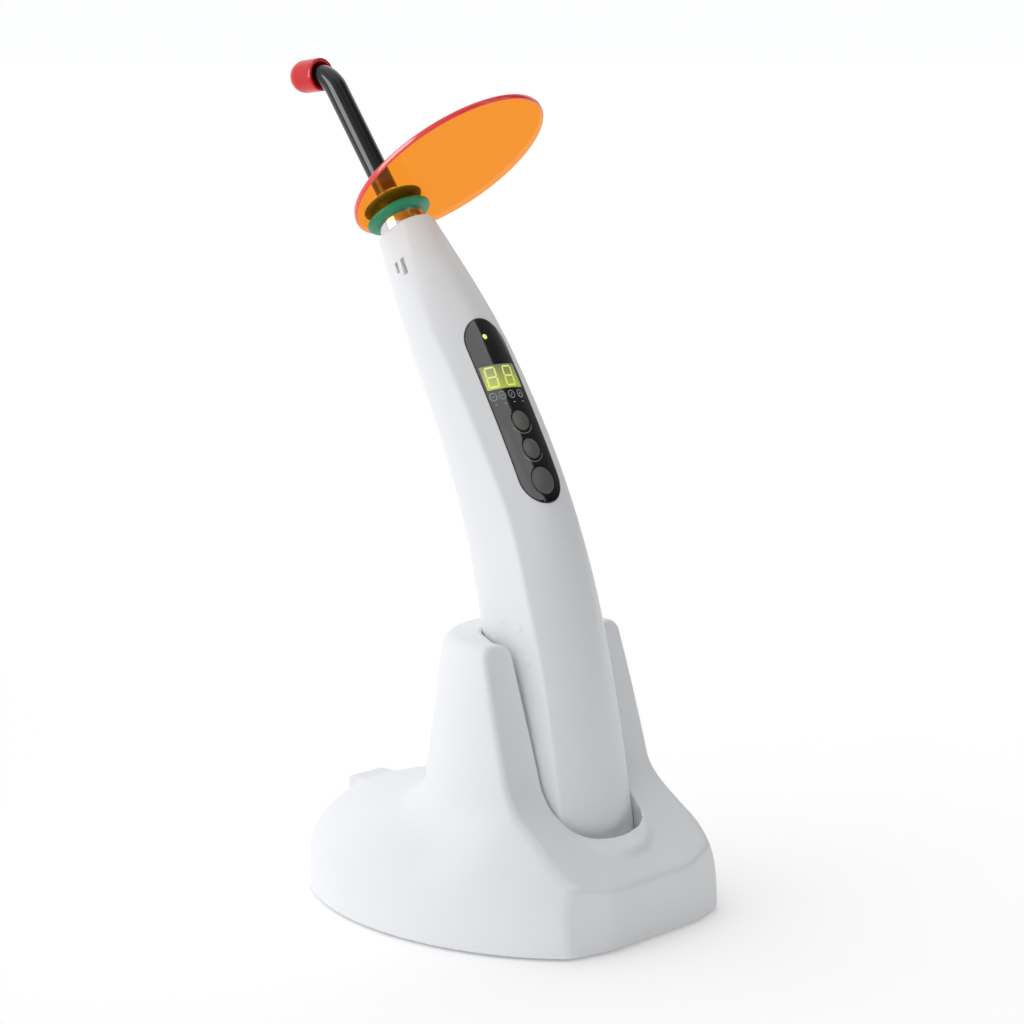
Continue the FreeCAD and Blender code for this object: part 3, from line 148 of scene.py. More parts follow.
def shield_material():
    """Transparent orange sheet with a little scattering and a faint outer reflection."""
    mat, tree = empty_material("orange_acrylic")
    ray = add_node(tree, "LightPath")
    seen = add_node(tree, "Math", {0: ray.outputs["Is Camera Ray"],
                                   1: ray.outputs["Is Glossy Ray"]}, operation="MAXIMUM")
    # orange where it is seen; light falling through it stays paler
    tint = add_node(tree, "Mix", {
        MIX_FACTOR: seen.outputs[0], MIX_COLOUR_A: (0.98, 0.93, 0.88, 1),
        MIX_COLOUR_B: (0.955, 0.55, 0.14, 1)}, data_type="RGBA")
    clear = add_node(tree, "BsdfTransparent", {"Color": tint.outputs[MIX_COLOUR_OUT]})
    gloss = add_node(tree, "BsdfGlossy", {"Roughness": 0.03, "Color": (1, 0.9, 0.85, 1)})
    diffuse = add_node(tree, "BsdfDiffuse", {"Color": (0.9, 0.23, 0.02, 1)})
    through = add_node(tree, "BsdfTranslucent", {"Color": (0.95, 0.30, 0.02, 1)})
    body = add_node(tree, "MixShader", {0: 0.6, 1: diffuse.outputs[0], 2: through.outputs[0]})
    # share of the scattering body, slightly uneven
    coords = add_node(tree, "TexCoord")
    noise = add_node(tree, "TexNoise", {"Scale": 25.0, "Vector": coords.outputs["Object"]})
    share = add_node(tree, "MapRange", {"To Min": 0.06, "To Max": 0.075,
                                        "Value": noise.outputs["Fac"]})
    sheet = add_node(tree, "MixShader", {0: share.outputs["Result"], 1: clear.outputs[0],
                                         2: body.outputs[0]})
    # a fifth of the Fresnel reflection, on outward faces only
    fresnel = add_node(tree, "Fresnel", {"IOR": 1.45})
    side = add_node(tree, "NewGeometry")
    facing = add_node(tree, "Math", {0: 1.0, 1: side.outputs["Backfacing"]},
                      operation="SUBTRACT")
    outer = add_node(tree, "Math", {0: fresnel.outputs[0], 1: facing.outputs[0]},
                     operation="MULTIPLY")
    faint = add_node(tree, "Math", {0: outer.outputs[0], 1: 0.2}, operation="MULTIPLY")
    coated = add_node(tree, "MixShader", {0: faint.outputs[0], 1: sheet.outputs[0],
                                          2: gloss.outputs[0]})
    add_node(tree, "OutputMaterial", {"Surface": coated.outputs[0]})
    return mat


def rim_material():
    """Red band round the sheet's edge, with a faint painted glow from its emission; clear
    where it is seen from inside the sheet.
    """
    mat = material("red_acrylic_edge", srgb(228, 36, 36), rough=0.12, coat=1.0,
                   coat_rough=0.03, mottle=0.12, mottle_scale=45, rough_var=0.03,
                   emit=srgb(228, 30, 30), emit_strength=0.12)
    tree = mat.node_tree
    side = add_node(tree, "NewGeometry")
    clear = add_node(tree, "BsdfTransparent", {"Color": (0.96, 0.62, 0.5, 1)})
    mix = add_node(tree, "MixShader", {
        0: side.outputs["Backfacing"], 1: tree.nodes["Principled BSDF"].outputs["BSDF"],
        2: clear.outputs[0]})
    tree.links.new(mix.outputs[0], tree.nodes["Material Output"].inputs["Surface"])
    return mat


def glass_material():
    """Olive display ground, brighter towards its lower edge, under a clear coat."""
    mat = bpy.data.materials.new("display_glass")
    mat.use_nodes = True
    tree = mat.node_tree
    coords = add_node(tree, "TexCoord")
    split = add_node(tree, "SeparateXYZ", {0: coords.outputs["Object"]})
    height = add_node(tree, "MapRange", {       # metres
        "From Min": 0.1785, "From Max": 0.1870, "Value": split.outputs["Z"]})
    ground = colour_ramp(tree, height.outputs["Result"],
                         (0.0, srgb(196, 206, 70)), (1.0, srgb(128, 130, 104)))
    bsdf = tree.nodes["Principled BSDF"]
    tree.links.new(ground, bsdf.inputs["Base Color"])
    tree.links.new(ground, bsdf.inputs["Emission Color"])
    for key, value in (("Emission Strength", 0.22), ("Roughness", 0.3), ("Coat Weight", 0.8),
                       ("Coat Roughness", 0.02)):
        bsdf.inputs[key].default_value = value
    return mat


WHITE = material("white_abs", srgb(238, 239, 241), rough=0.34, coat=0.12, coat_rough=0.12,
                 mottle=0.012, mottle_scale=45, rough_var=0.03, bump=0.03, bump_scale=900)
CRADLE_WHITE = material("white_abs_cradle", srgb(238, 239, 241), rough=0.38, coat=0.10,
                        coat_rough=0.15, mottle=0.012, mottle_scale=35, rough_var=0.04,
                        bump=0.04, bump_scale=900)
PANEL_BLACK = material("black_panel", srgb(22, 22, 24), rough=0.12, coat=0.8,
                       coat_rough=0.02, rough_var=0.02, mottle_scale=30)
LIT_DIGIT = material("lit_segments", srgb(214, 222, 130), rough=0.4,
                     emit=srgb(222, 236, 120), emit_strength=0.5, mottle=0.02)
PRINT_GREY = material("printed_grey", srgb(176, 178, 178), rough=0.5, mottle=0.05,
                      mottle_scale=300)
BUTTON_GREY = material("button_grey", srgb(92, 92, 88), rough=0.42, coat=0.15,
                       coat_rough=0.25, rough_var=0.04, mottle=0.04, mottle_scale=200)
LAMP_GREEN = material("power_led_green", srgb(200, 240, 120), rough=0.25,
                      emit=srgb(190, 240, 110), emit_strength=0.7, mottle=0.02)
STEEL = material("polished_steel", srgb(215, 214, 216), rough=0.08, metal=1.0,
                 rough_var=0.03, mottle_scale=120, bump=0.02)
SILICONE = material("green_silicone", srgb(0, 138, 92), rough=0.42, coat=0.15,
                    coat_rough=0.3, mottle=0.06, mottle_scale=80, rough_var=0.05, bump=0.03)
ROD_BLACK = material("black_glass_rod", srgb(8, 6, 7), rough=0.1, coat=0.45,
                     coat_rough=0.02, spec=0.3, mottle=0.05, rough_var=0.01)
FIBRE = material("fibre_core", srgb(60, 48, 40), rough=0.15, coat=0.8, mottle=0.35,
                 mottle_scale=900)
CAP_RED = material("red_vinyl_cap", srgb(214, 8, 24), rough=0.3, coat=0.45, coat_rough=0.06,
                   spec=0.3, mottle=0.03, mottle_scale=60, sss=0.1, rough_var=0.02)
RUBBER = material("black_rubber", srgb(30, 30, 31), rough=0.8, mottle=0.15, bump=0.2,
                  bump_scale=700)
INSERT_BEIGE = material("grey_beige_insert", srgb(186, 178, 168), rough=0.55, mottle=0.06,
                        mottle_scale=200)
SHIELD_ORANGE = shield_material()
SHIELD_RIM = rim_material()
DISPLAY_GLASS = glass_material()

# ---------------------------------------------------------------------------
# mesh helpers
# ---------------------------------------------------------------------------


def new_object(name, data):
    ob = bpy.data.objects.new(name, data)
    scene.collection.objects.link(ob)
    return ob


def clean_mesh(ob, merge=True):
    """Merges doubled vertices and turns the faces outwards."""
    bm = bmesh.new()
    bm.from_mesh(ob.data)
    if merge:
        bmesh.ops.remove_doubles(bm, verts=bm.verts, dist=1e-7)
    bmesh.ops.recalc_face_normals(bm, faces=bm.faces)
    bm.to_mesh(ob.data)
    bm.free()


def solid(name, verts, faces, merge=True):
    mesh = bpy.data.meshes.new(name)
    mesh.from_pydata([tuple(float(c) * MM for c in vert) for vert in verts], [], faces)
    mesh.validate()
    ob = new_object(name, mesh)
    clean_mesh(ob, merge)
    return ob


def smooth_by_angle(mesh, degrees):
    bm = bmesh.new()
    bm.from_mesh(mesh)
    limit = math.radians(degrees)
    for face in bm.faces:
        face.smooth = True
    for edge in bm.edges:
        edge.smooth = len(edge.link_faces) == 2 and edge.calc_face_angle(0.0) < limit
    bm.to_mesh(mesh)
    bm.free()


def register(ob, body, node, replaces=True):
    """The piece moves with body; unless replaces is false, it stands in for the CAD node,
    which is hidden.
    """
    if replaces:
        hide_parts(node)
    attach(ob, body)


def finish_piece(ob, mat, smooth, body, node, replaces=True):
    ob.data.materials.clear()
    ob.data.materials.append(mat)
    smooth_by_angle(ob.data, smooth)
    register(ob, body, node, replaces)


def add_piece(name, verts, faces, mat, **finish):
    ob = solid(name, verts, faces)
    finish_piece(ob, mat, **finish)
    return ob


def merged(parts):
    """Joins (vertices, faces) pairs into one pair."""
    verts, faces = [], []
    for part_verts, part_faces in parts:
        start = len(verts)
        verts += list(part_verts)
        faces += [tuple(i + start for i in face) for face in part_faces]
    return verts, faces


def tube_walls(count, seg, closed=False):
    """Quads between count rings of seg points; closed joins the last ring to the first."""
    faces = []
    for i in range(count if closed else count - 1):
        a, b = i * seg, (i + 1) % count * seg
        for j in range(seg):
            k = (j + 1) % seg
            faces.append((a + j, a + k, b + k, b + j))
    return faces


def tube_ends(count, seg):
    return [tuple(range(seg))[::-1], tuple((count - 1) * seg + j for j in range(seg))]


def prism(loop_low, loop_high):
    seg = len(loop_low)
    return list(loop_low) + list(loop_high), tube_ends(2, seg) + tube_walls(2, seg)


def lathe(name, profile, place, mat, seg, **finish):
    """Turns a closed (radius, z) profile about local z and moves it by place."""
    verts, faces, rings = [], [], []
    for r, z in profile:
        if r < 1e-6:
            rings.append([len(verts)])
            verts.append((0, 0, z))
            continue
        rings.append(list(range(len(verts), len(verts) + seg)))
        for j in range(seg):
            angle = 2 * math.pi * j / seg
            verts.append((r * math.cos(angle), r * math.sin(angle), z))
    for a, b in zip(rings, rings[1:] + rings[:1]):
        if len(a) == 1 and len(b) == 1:
            continue
        for j in range(seg):
            k = (j + 1) % seg
            if len(a) == 1:
                faces.append((a[0], b[j], b[k]))
            elif len(b) == 1:
                faces.append((a[j], b[0], a[k]))
            else:
                faces.append((a[j], b[j], b[k], a[k]))
    return add_piece(name, place(verts), faces, mat, **finish)


def rounded(corners, seg=5):
    """Closed outline from (radius, z, rounding) corners."""
    out = []
    for i, (x, z, r) in enumerate(corners):
        corner = np.array((x, z), float)
        if r <= 0:
            out.append((x, z))
            continue
        a = np.array(corners[i - 1][:2], float) - corner
        b = np.array(corners[(i + 1) % len(corners)][:2], float) - corner
        length_a, length_b = np.linalg.norm(a), np.linalg.norm(b)
        a, b = a / length_a, b / length_b
        half_angle = math.acos(float(a @ b)) / 2
        cut = r / math.tan(half_angle)
        limit = 0.49 * min(length_a, length_b)
        if cut > limit:
            cut = limit
            r = cut * math.tan(half_angle)
        centre = corner + (a + b) / np.linalg.norm(a + b) * (r / math.sin(half_angle))
        start, end = corner + a * cut - centre, corner + b * cut - centre
        first = math.atan2(start[1], start[0])
        turn = math.atan2(end[1], end[0]) - first
        turn = (turn + math.pi) % (2 * math.pi) - math.pi
        for k in range(seg + 1):
            angle = first + turn * k / seg
            out.append((centre[0] + r * math.cos(angle), centre[1] + r * math.sin(angle)))
    return out


def rotation_y(degrees):
    c, s = math.cos(math.radians(degrees)), math.sin(math.radians(degrees))
    return np.array([[c, 0, s], [0, 1, 0], [-s, 0, c]])


def tilted_frame(x, z, degrees, y=0.0):
    """Maps local points to a frame at x, y, z turned about +Y."""
    rotation = rotation_y(degrees)
    return lambda points: np.asarray(points) @ rotation.T + np.array([x, y, z])


def face_radius(st):
    """Radius across the display face, from its half width and the drop of its edges."""
    return (st.face_half * st.face_half + st.face_drop * st.face_drop) / (2 * st.face_drop)


def running_length(points):
    steps = np.linalg.norm(np.diff(points, axis=0), axis=1)
    return np.concatenate([[0], np.cumsum(steps)])


def point_at(points, lengths, s):
    return np.stack([np.interp(s, lengths, points[:, j]) for j in range(2)], axis=-1)


# ---------------------------------------------------------------------------
# the handle's stations
# ---------------------------------------------------------------------------
# x, z of the display face on the middle plane; tilt of its normal above +X (degrees); half
# width of the face; drop of the face's edges; half width and depth of the handle; exponent of
# the back outline; share of the depth at which the handle is widest. From nose to foot.
Station = namedtuple("Station", "x z tilt face_half face_drop half depth power widest")
STATIONS = np.array([
    (-42.8, 235.85, 36.1, 9.84, 7.5, 10.4, 21.2, 2.00, 0.500),
    (-29.52, 219.6, 35.6, 13.57, 7.6, 14.27, 24.79, 2.05, 0.490),
    (-15.87, 201.0, 34.3, 16.26, 7.0, 17.16, 27.7, 2.10, 0.480),
    (-3.2, 180.3, 31.2, 16.77, 5.7, 17.67, 29.2, 2.20, 0.475),
    (8.8, 159.2, 28.1, 16.75, 5.2, 17.65, 31.69, 2.30, 0.470),
    (17.7, 141.7, 25.0, 16.37, 5.0, 17.27, 34.51, 2.35, 0.470),
    (28.2, 113.0, 17.6, 17.09, 4.9, 17.89, 37.0, 2.40, 0.470),
    (33.7, 93.0, 13.6, 17.1, 4.7, 17.8, 37.8, 2.40, 0.470),
    (39.6, 65.0, 10.8, 17.5, 4.5, 18.0, 37.4, 2.40, 0.470),
    (43.7, 42.0, 9.4, 17.7, 4.5, 18.0, 36.4, 2.40, 0.470),
    (46.4, 25.0, 8.6, 17.6, 4.5, 17.9, 35.6, 2.40, 0.470)])


def natural_spline(knots, values):
    """Natural cubic spline through every column of values."""
    n = len(knots)
    gap = np.diff(knots)
    system = np.zeros((n, n))
    right = np.zeros((n, values.shape[1]))
    system[0, 0] = system[-1, -1] = 1.0
    for i in range(1, n - 1):
        system[i, i - 1] = gap[i - 1]
        system[i, i] = 2 * (gap[i - 1] + gap[i])
        system[i, i + 1] = gap[i]
        right[i] = 6 * ((values[i + 1] - values[i]) / gap[i]
                        - (values[i] - values[i - 1]) / gap[i - 1])
    bend = np.linalg.solve(system, right)

    def at(t):
        i = int(np.clip(np.searchsorted(knots, t) - 1, 0, n - 2))
        a, b, k = knots[i + 1] - t, t - knots[i], gap[i]
        return ((bend[i] * a ** 3 + bend[i + 1] * b ** 3) / (6 * k)
                + (values[i] / k - bend[i] * k / 6) * a
                + (values[i + 1] / k - bend[i + 1] * k / 6) * b)
    return at


ARC = running_length(STATIONS[:, :2])
HANDLE_LENGTH = ARC[-1]
PANEL_ORIGIN = 70.75        # the panel's reference point, along the handle from the nose
spline = natural_spline(ARC, STATIONS)


def station(t):
    return Station(*spline(t))


def on_face(s, q, h):
    """Point s up the handle from the panel's origin, q across and h above the face."""
    st = station(PANEL_ORIGIN - s)
    radius = face_radius(st)
    tilt = math.radians(st.tilt)
    angle = q / radius
    n = -radius + (radius + h) * math.cos(angle)
    return (st.x + n * math.cos(tilt), (radius + h) * math.sin(angle),
            st.z + n * math.sin(tilt))


# ---------------------------------------------------------------------------
# handle shells
# ---------------------------------------------------------------------------
NOSE_R, FOOT_R, SEAM_R = 0.7, 1.4, 0.22     # roundings at the ends and the parting line
WALL = 2.0
OUTLINE_POINTS = {"front": 129, "rear": 45}
RING_PLACES = ([0.0, 0.04, 0.12, 0.25, 0.42, 0.7]
               + list(np.arange(1.4, HANDLE_LENGTH - 1.6, 1.15))
               + [HANDLE_LENGTH - d for d in (1.4, 0.9, 0.5, 0.22, 0.06)] + [HANDLE_LENGTH])


def crease_length(t):
    """Softening of the side creases, longer towards the nose."""
    return 1.1 + 4.2 * max(0.0, 1 - t / 46.0) ** 1.5


def end_offset(distance, r):
    """Inset of a surface rounded by r at this distance from its end."""
    if distance >= r:
        return 0.0
    return r - math.sqrt(max(0.0, r * r - (r - distance) ** 2))


def soften_crease(points, corner, reach):
    lengths = running_length(points)
    middle = lengths[int(np.argmin(np.linalg.norm(points - corner, axis=1)))]
    before = point_at(points, lengths, middle - reach)
    after = point_at(points, lengths, middle + reach)
    for j in range(len(points)):
        if abs(lengths[j] - middle) < reach:
            t = (lengths[j] - middle + reach) / (2 * reach)
            points[j] = (1 - t) ** 2 * before + 2 * t * (1 - t) * corner + t * t * after


def outlines(st, parting, crease):
    """Front and rear (normal, y) outlines, from the +y parting edge to the -y one."""
    radius = face_radius(st)
    half_angle = math.asin(st.face_half / radius)
    widest = st.depth * st.widest
    angle = np.linspace(-half_angle, half_angle, 97)[::-1][1:-1]
    k = np.linspace(0, 1, 25)
    side_n = -st.face_drop - (widest - st.face_drop) * k
    side_y = st.face_half + (st.half - st.face_half) * np.sin(k * math.pi / 2)
    face = np.c_[
        np.concatenate([side_n[::-1], -radius + radius * np.cos(angle), side_n]),
        np.concatenate([side_y[::-1], radius * np.sin(angle), -side_y])]
    for sign in (1, -1):
        soften_crease(face, np.array([-st.face_drop, sign * st.face_half]), crease)

    angle = np.linspace(0, math.pi, 241)
    c, s = np.cos(angle), np.sin(angle)
    back = np.c_[-widest - (st.depth - widest) * np.abs(s) ** (2 / st.power),
                 st.half * np.sign(c) * np.abs(c) ** (2 / st.power)]
    limit = -st.depth * parting
    i = int(np.argmax(back[:, 0] < limit))
    share = (limit - back[i - 1, 0]) / (back[i, 0] - back[i - 1, 0])
    edge = back[i - 1] + (back[i] - back[i - 1]) * share
    flank = np.vstack([back[1:i], edge])        # +y side, widest point to parting line
    return {"front": np.vstack([flank[::-1], face, flank * MIRROR]),
            "rear": np.vstack([edge, back[i:len(back) - i], edge * MIRROR])}


def inset_outline(points, distance):
    tangent = np.gradient(points, axis=0)
    tangent /= np.linalg.norm(tangent, axis=1)[:, None]
    normal = np.c_[tangent[:, 1], -tangent[:, 0]]
    if np.sum((points.mean(axis=0) - points) * normal) < 0:
        normal = -normal
    return points + normal * distance


def resample(points, count):
    """Even spacing, but denser where the outline turns."""
    steps = np.diff(points, axis=0)
    weight = np.linalg.norm(steps, axis=1)
    angle = np.arctan2(steps[:, 1], steps[:, 0])
    turn = np.abs((np.diff(angle) + math.pi) % (2 * math.pi) - math.pi)
    weight[1:] += turn * 2.5
    weight[:-1] += turn * 2.5
    lengths = np.concatenate([[0], np.cumsum(weight)])
    return point_at(points, lengths, np.linspace(0, lengths[-1], count))


def shell_ring(t, which):
    """Outer and inner outline of one shell at t, as 3D points."""
    st = station(t)
    offset = end_offset(t, NOSE_R) + end_offset(HANDLE_LENGTH - t, FOOT_R)
    parting = 0.82 + 0.08 * min(1.0, t / 42.2)
    plain = outlines(st, parting, crease_length(t))[which]
    outer = inset_outline(plain, offset) if offset else plain
    lengths = running_length(outer)
    # the parting edges roll inwards, which leaves a fine groove between the shells
    tangent = outer[1] - outer[0]
    tangent = tangent / np.linalg.norm(tangent)
    inward = np.array([-tangent[1], tangent[0]])
    if inward @ (np.array([plain[:, 0].mean(), 0.0]) - outer[0]) < 0:
        inward = -inward
    rolled = np.array([
        point_at(outer, lengths, SEAM_R * share) + inward * end_offset(SEAM_R * share, SEAM_R)
        for share in (0.0, 0.15, 0.4, 0.7, 1.0)])
    margin = SEAM_R * 1.3
    core = outer[(lengths > margin) & (lengths < lengths[-1] - margin)]
    outer = np.vstack([rolled, resample(core, OUTLINE_POINTS[which]), rolled[::-1] * MIRROR])
    inner = resample(inset_outline(plain, WALL), len(outer))
    tilt = math.radians(st.tilt)
    return [np.c_[st.x + ring[:, 0] * math.cos(tilt), ring[:, 1],
                  st.z + ring[:, 0] * math.sin(tilt)] for ring in (outer, inner)]


def shell(name, which):
    rings = [shell_ring(t, which) for t in RING_PLACES]
    verts = [point for side in (0, 1) for ring in rings for point in ring[side]]
    count, m = len(rings), len(rings[0][0])
    inner = count * m       # first vertex of the inner wall
    faces = []
    for j in range(count - 1):
        for i in range(m - 1):
            a = j * m + i
            b = inner + a
            faces.append((a, a + 1, a + m + 1, a + m))
            faces.append((b, b + m, b + m + 1, b + 1))
        for i in (0, m - 1):        # parting edges
            a = j * m + i
            faces.append((a, a + m, inner + a + m, inner + a))
    for i in range(m - 1):          # nose and foot edges
        for a in (i, (count - 1) * m + i):
            faces.append((a, a + 1, inner + a + 1, inner + a))
    return solid(name, verts, faces)


def cut(ob, tools):
    for tool in tools:
        modifier = ob.modifiers.new("cut", "BOOLEAN")
        modifier.operation = "DIFFERENCE"
        modifier.solver = "EXACT"
        modifier.object = tool
        graph = bpy.context.evaluated_depsgraph_get()
        mesh = bpy.data.meshes.new_from_object(ob.evaluated_get(graph))
        ob.modifiers.clear()
        if len(mesh.polygons) > 0:      # a failed cut would leave nothing of the piece
            old = ob.data
            ob.data = mesh
            bpy.data.meshes.remove(old)
    for tool in tools:
        bpy.data.objects.remove(tool, do_unlink=True)


def stadium(length, width, middle, seg=24):
    r = width / 2
    half = length / 2 - r
    points = []
    for sign in (1, -1):
        for k in range(seg + 1):
            angle = -sign * math.pi / 2 + math.pi * k / seg
            points.append((middle + sign * half + r * math.cos(angle), r * math.sin(angle)))
        for k in range(1, seg):
            points.append((middle + sign * half - sign * 2 * half * k / seg, sign * r))
    return points


PANEL_MIDDLE, PANEL_LENGTH, PANEL_WIDTH = -7.3, 68.7, 19.05
SEAT_GAP = 0.34             # added to the panel's length and width
SEAT_LOW, SEAT_HIGH = -1.35, 3.0

GUIDE_ORIGIN = np.array([-50.35, 0.0, 228.49])
GUIDE_TILT = -36.09         # degrees; the guide's local z points up and towards -X
guide = tilted_frame(GUIDE_ORIGIN[0], GUIDE_ORIGIN[2], GUIDE_TILT)

# slots in the front shell near the nose, in the guide's frame:
# z, x, size along x, size along z, distance of the surface inside the handle's half width
AIR_SLOTS = [(-13.5, 0.4, 1.2, 4.2, 0.55), (-14.5, 3.1, 1.5, 6.4, 1.0)]
SLOT_SKEW = 0.15


def slot_prism(z, x, size_x, size_z, sign, y_inner, y_outer):
    points = guide([
        (x + dx * size_x / 2, sign * y, z + dz * size_z / 2 + dx * SLOT_SKEW * 0.5 * size_x)
        for y in (y_inner, y_outer) for dx, dz in ((-1, -1), (1, -1), (1, 1), (-1, 1))])
    return prism(points[:4], points[4:])


front = shell("handle_front", "front")
front.data.materials.append(WHITE)      # the cuts carry the material over
rear = shell("handle_rear", "rear")

seat = stadium(PANEL_LENGTH + SEAT_GAP, PANEL_WIDTH + SEAT_GAP, PANEL_MIDDLE)
seat_loops = [[on_face(s, q, h) for s, q in seat] for h in (SEAT_LOW, SEAT_HIGH)]
cut(front, [solid("seat_tool", *prism(*seat_loops))])
cut(front, [solid("slot_tool", *slot_prism(z, x, size_x, size_z, sign, 6.0, 20.0))
            for z, x, size_x, size_z, _ in AIR_SLOTS for sign in (1, -1)])
clean_mesh(front)
finish_piece(front, WHITE, 32.0, "handpiece", "handle_front_shell")
finish_piece(rear, WHITE, 32.0, "handpiece", "handle_rear_shell")


def air_slot_inserts():
    """Fillings of the slots, a little below the surface."""
    clearance, sunk, thickness_to = 0.02, 0.35, 2.0
    parts = []
    for z, x, size_x, size_z, surface_inset in AIR_SLOTS:
        surface = station(-z).half - surface_inset
        for sign in (1, -1):
            parts.append(slot_prism(z, x, size_x - clearance, size_z - clearance, sign,
                                    surface - thickness_to, surface - sunk))
    add_piece("air_slots", *merged(parts), INSERT_BEIGE, smooth=30.0, body="handpiece",
              node="air_slot_inserts")


air_slot_inserts()

# x, |y|, z of the dots on both flanks
GRIP_DOTS = [(4.57, 17.04, 105.58), (12.85, 17.85, 103.43), (20.15, 17.66, 101.22),
             (8.61, 17.49, 95.54), (23.6, 17.74, 90.55), (27.32, 17.61, 79.0)]


def bead(x, y, z, sign, r=1.5, height=0.22, root=0.6, rings=6, seg=28):
    """Low dome facing sign * Y, with a root sunk into the wall."""
    profile = [(r, -root)]
    for k in range(rings):
        angle = math.pi / 2 * k / rings
        profile.append((r * math.cos(angle), height * math.sin(angle)))
    verts = []
    for ring_r, h in profile:
        for j in range(seg):
            angle = 2 * math.pi * j / seg
            verts.append((x + sign * ring_r * math.cos(angle), sign * (y + h),
                          z - ring_r * math.sin(angle)))
    verts += [(x, sign * (y + height), z), (x, sign * (y - root), z)]
    top, bottom = len(verts) - 2, len(verts) - 1
    faces = tube_walls(len(profile), seg)
    last = (len(profile) - 1) * seg
    for j in range(seg):
        k = (j + 1) % seg
        faces += [(last + j, last + k, top), (k, j, bottom)]
    return verts, faces


add_piece("grip_dots", *merged([bead(*dot, sign) for dot in GRIP_DOTS for sign in (1, -1)]),
          WHITE, smooth=30.0, body="handpiece", node="handle_front_shell", replaces=False)

# ---------------------------------------------------------------------------
# control panel: places are (s, q) on the display face, see on_face
# ---------------------------------------------------------------------------
PANEL_TOP = 0.30            # above the handle's face
PANEL_HALF, GLASS_HALF = 0.72, 0.6      # half thicknesses
GLASS_SUNK = 0.02
WINDOW_S, WINDOW_Q, WINDOW_LENGTH, WINDOW_WIDTH = 5.0, -0.4, 8.8, 16.4
MODE_S, TIME_S, POWER_S = -11.66, -22.03, -33.72
SMALL_R, LARGE_R, BUTTON_GAP = 3.55, 4.8, 0.16
LAMP_S, LAMP_Q, LAMP_R, LAMP_HOLE_R = 20.0, -0.8, 0.9, 0.98
BEND_STEP = MM              # metres; plates are cut into faces this small to bend well


def hole_loop(s, q, r, seg=48):
    """Circle run clockwise, as a hole."""
    return [(s + r * math.cos(2 * math.pi * k / seg), q + r * math.sin(2 * math.pi * k / seg))
            for k in range(seg)][::-1]


def round_rect(s, q, length, width, r, seg=6):
    points = []
    for sign_s, sign_q, start in ((1, 1, 0), (-1, 1, 90), (-1, -1, 180), (1, -1, 270)):
        for k in range(seg + 1):
            angle = math.radians(start + 90.0 * k / seg)
            points.append((s + sign_s * (length / 2 - r) + r * math.cos(angle),
                           q + sign_q * (width / 2 - r) + r * math.sin(angle)))
    return points


def bent_plate(name, loops, half, bevel, middle, mat, node):
    """Plate with holes and bevelled edges, its mid-plane laid at height middle."""
    curve = bpy.data.curves.new(name, "CURVE")
    curve.dimensions = "2D"
    curve.fill_mode = "BOTH"
    curve.extrude = (half - bevel) * MM
    curve.bevel_depth = bevel * MM
    curve.bevel_resolution = 2
    curve.offset = -bevel * MM
    for loop in loops:
        line = curve.splines.new("POLY")
        line.points.add(len(loop) - 1)
        for point, (s, q) in zip(line.points, loop):
            point.co = (s * MM, q * MM, 0, 1)
        line.use_cyclic_u = True
    flat = new_object(name, curve)
    graph = bpy.context.evaluated_depsgraph_get()
    flat_mesh = bpy.data.meshes.new_from_object(flat.evaluated_get(graph))
    bpy.data.objects.remove(flat, do_unlink=True)
    bpy.data.curves.remove(curve)
    bm = bmesh.new()
    bm.from_mesh(flat_mesh)
    bpy.data.meshes.remove(flat_mesh)
    bmesh.ops.remove_doubles(bm, verts=bm.verts, dist=1e-7)
    extents = [(min(v.co[axis] for v in bm.verts), max(v.co[axis] for v in bm.verts))
               for axis in (0, 1)]
    for axis, (low, high) in enumerate(extents):
        k = math.floor(low / BEND_STEP) + 1
        while k * BEND_STEP < high:
            place, normal = [0, 0, 0], [0, 0, 0]
            place[axis] = k * BEND_STEP
            normal[axis] = 1
            bmesh.ops.bisect_plane(bm, geom=bm.verts[:] + bm.edges[:] + bm.faces[:],
                                   plane_co=place, plane_no=normal)
            k += 1
    for vert in bm.verts:
        x, y, z = on_face(vert.co.x / MM, vert.co.y / MM, middle + vert.co.z / MM)
        vert.co = (x * MM, y * MM, z * MM)
    bmesh.ops.recalc_face_normals(bm, faces=bm.faces)
    mesh = bpy.data.meshes.new(name)
    bm.to_mesh(mesh)
    bm.free()
    finish_piece(new_object(name, mesh), mat, 35.0, "handpiece", node)


bent_plate("panel_plate", [
    stadium(PANEL_LENGTH, PANEL_WIDTH, PANEL_MIDDLE),
    round_rect(WINDOW_S, WINDOW_Q, WINDOW_LENGTH, WINDOW_WIDTH, 0.4)[::-1],
    hole_loop(LAMP_S, LAMP_Q, LAMP_HOLE_R, 32),
    hole_loop(MODE_S, 0, SMALL_R + BUTTON_GAP),
    hole_loop(TIME_S, 0, SMALL_R + BUTTON_GAP),
    hole_loop(POWER_S, 0, LARGE_R + BUTTON_GAP)],
    half=PANEL_HALF, bevel=0.16, middle=PANEL_TOP - PANEL_HALF, mat=PANEL_BLACK,
    node="control_panel")
bent_plate("display_glass", [
    round_rect(WINDOW_S, WINDOW_Q, WINDOW_LENGTH - 0.04, WINDOW_WIDTH - 0.04, 0.38)],
    half=GLASS_HALF, bevel=0.05, middle=PANEL_TOP - (GLASS_HALF + GLASS_SUNK),
    mat=DISPLAY_GLASS, node="display_window")


def rail(sections, closed=False):
    """Four-cornered rail through sections of (s, q, h) corners on the display face."""
    verts = [on_face(*corner) for section in sections for corner in section]
    count = len(sections)
    faces = []
    for i in range(count if closed else count - 1):
        a, b = 4 * i, 4 * ((i + 1) % count)
        for j in range(4):
            k = (j + 1) % 4
            faces.append((a + j, b + j, b + k, a + k))
    if not closed:
        end = 4 * (count - 1)
        faces += [(0, 1, 2, 3), (end + 3, end + 2, end + 1, end)]
    return verts, faces


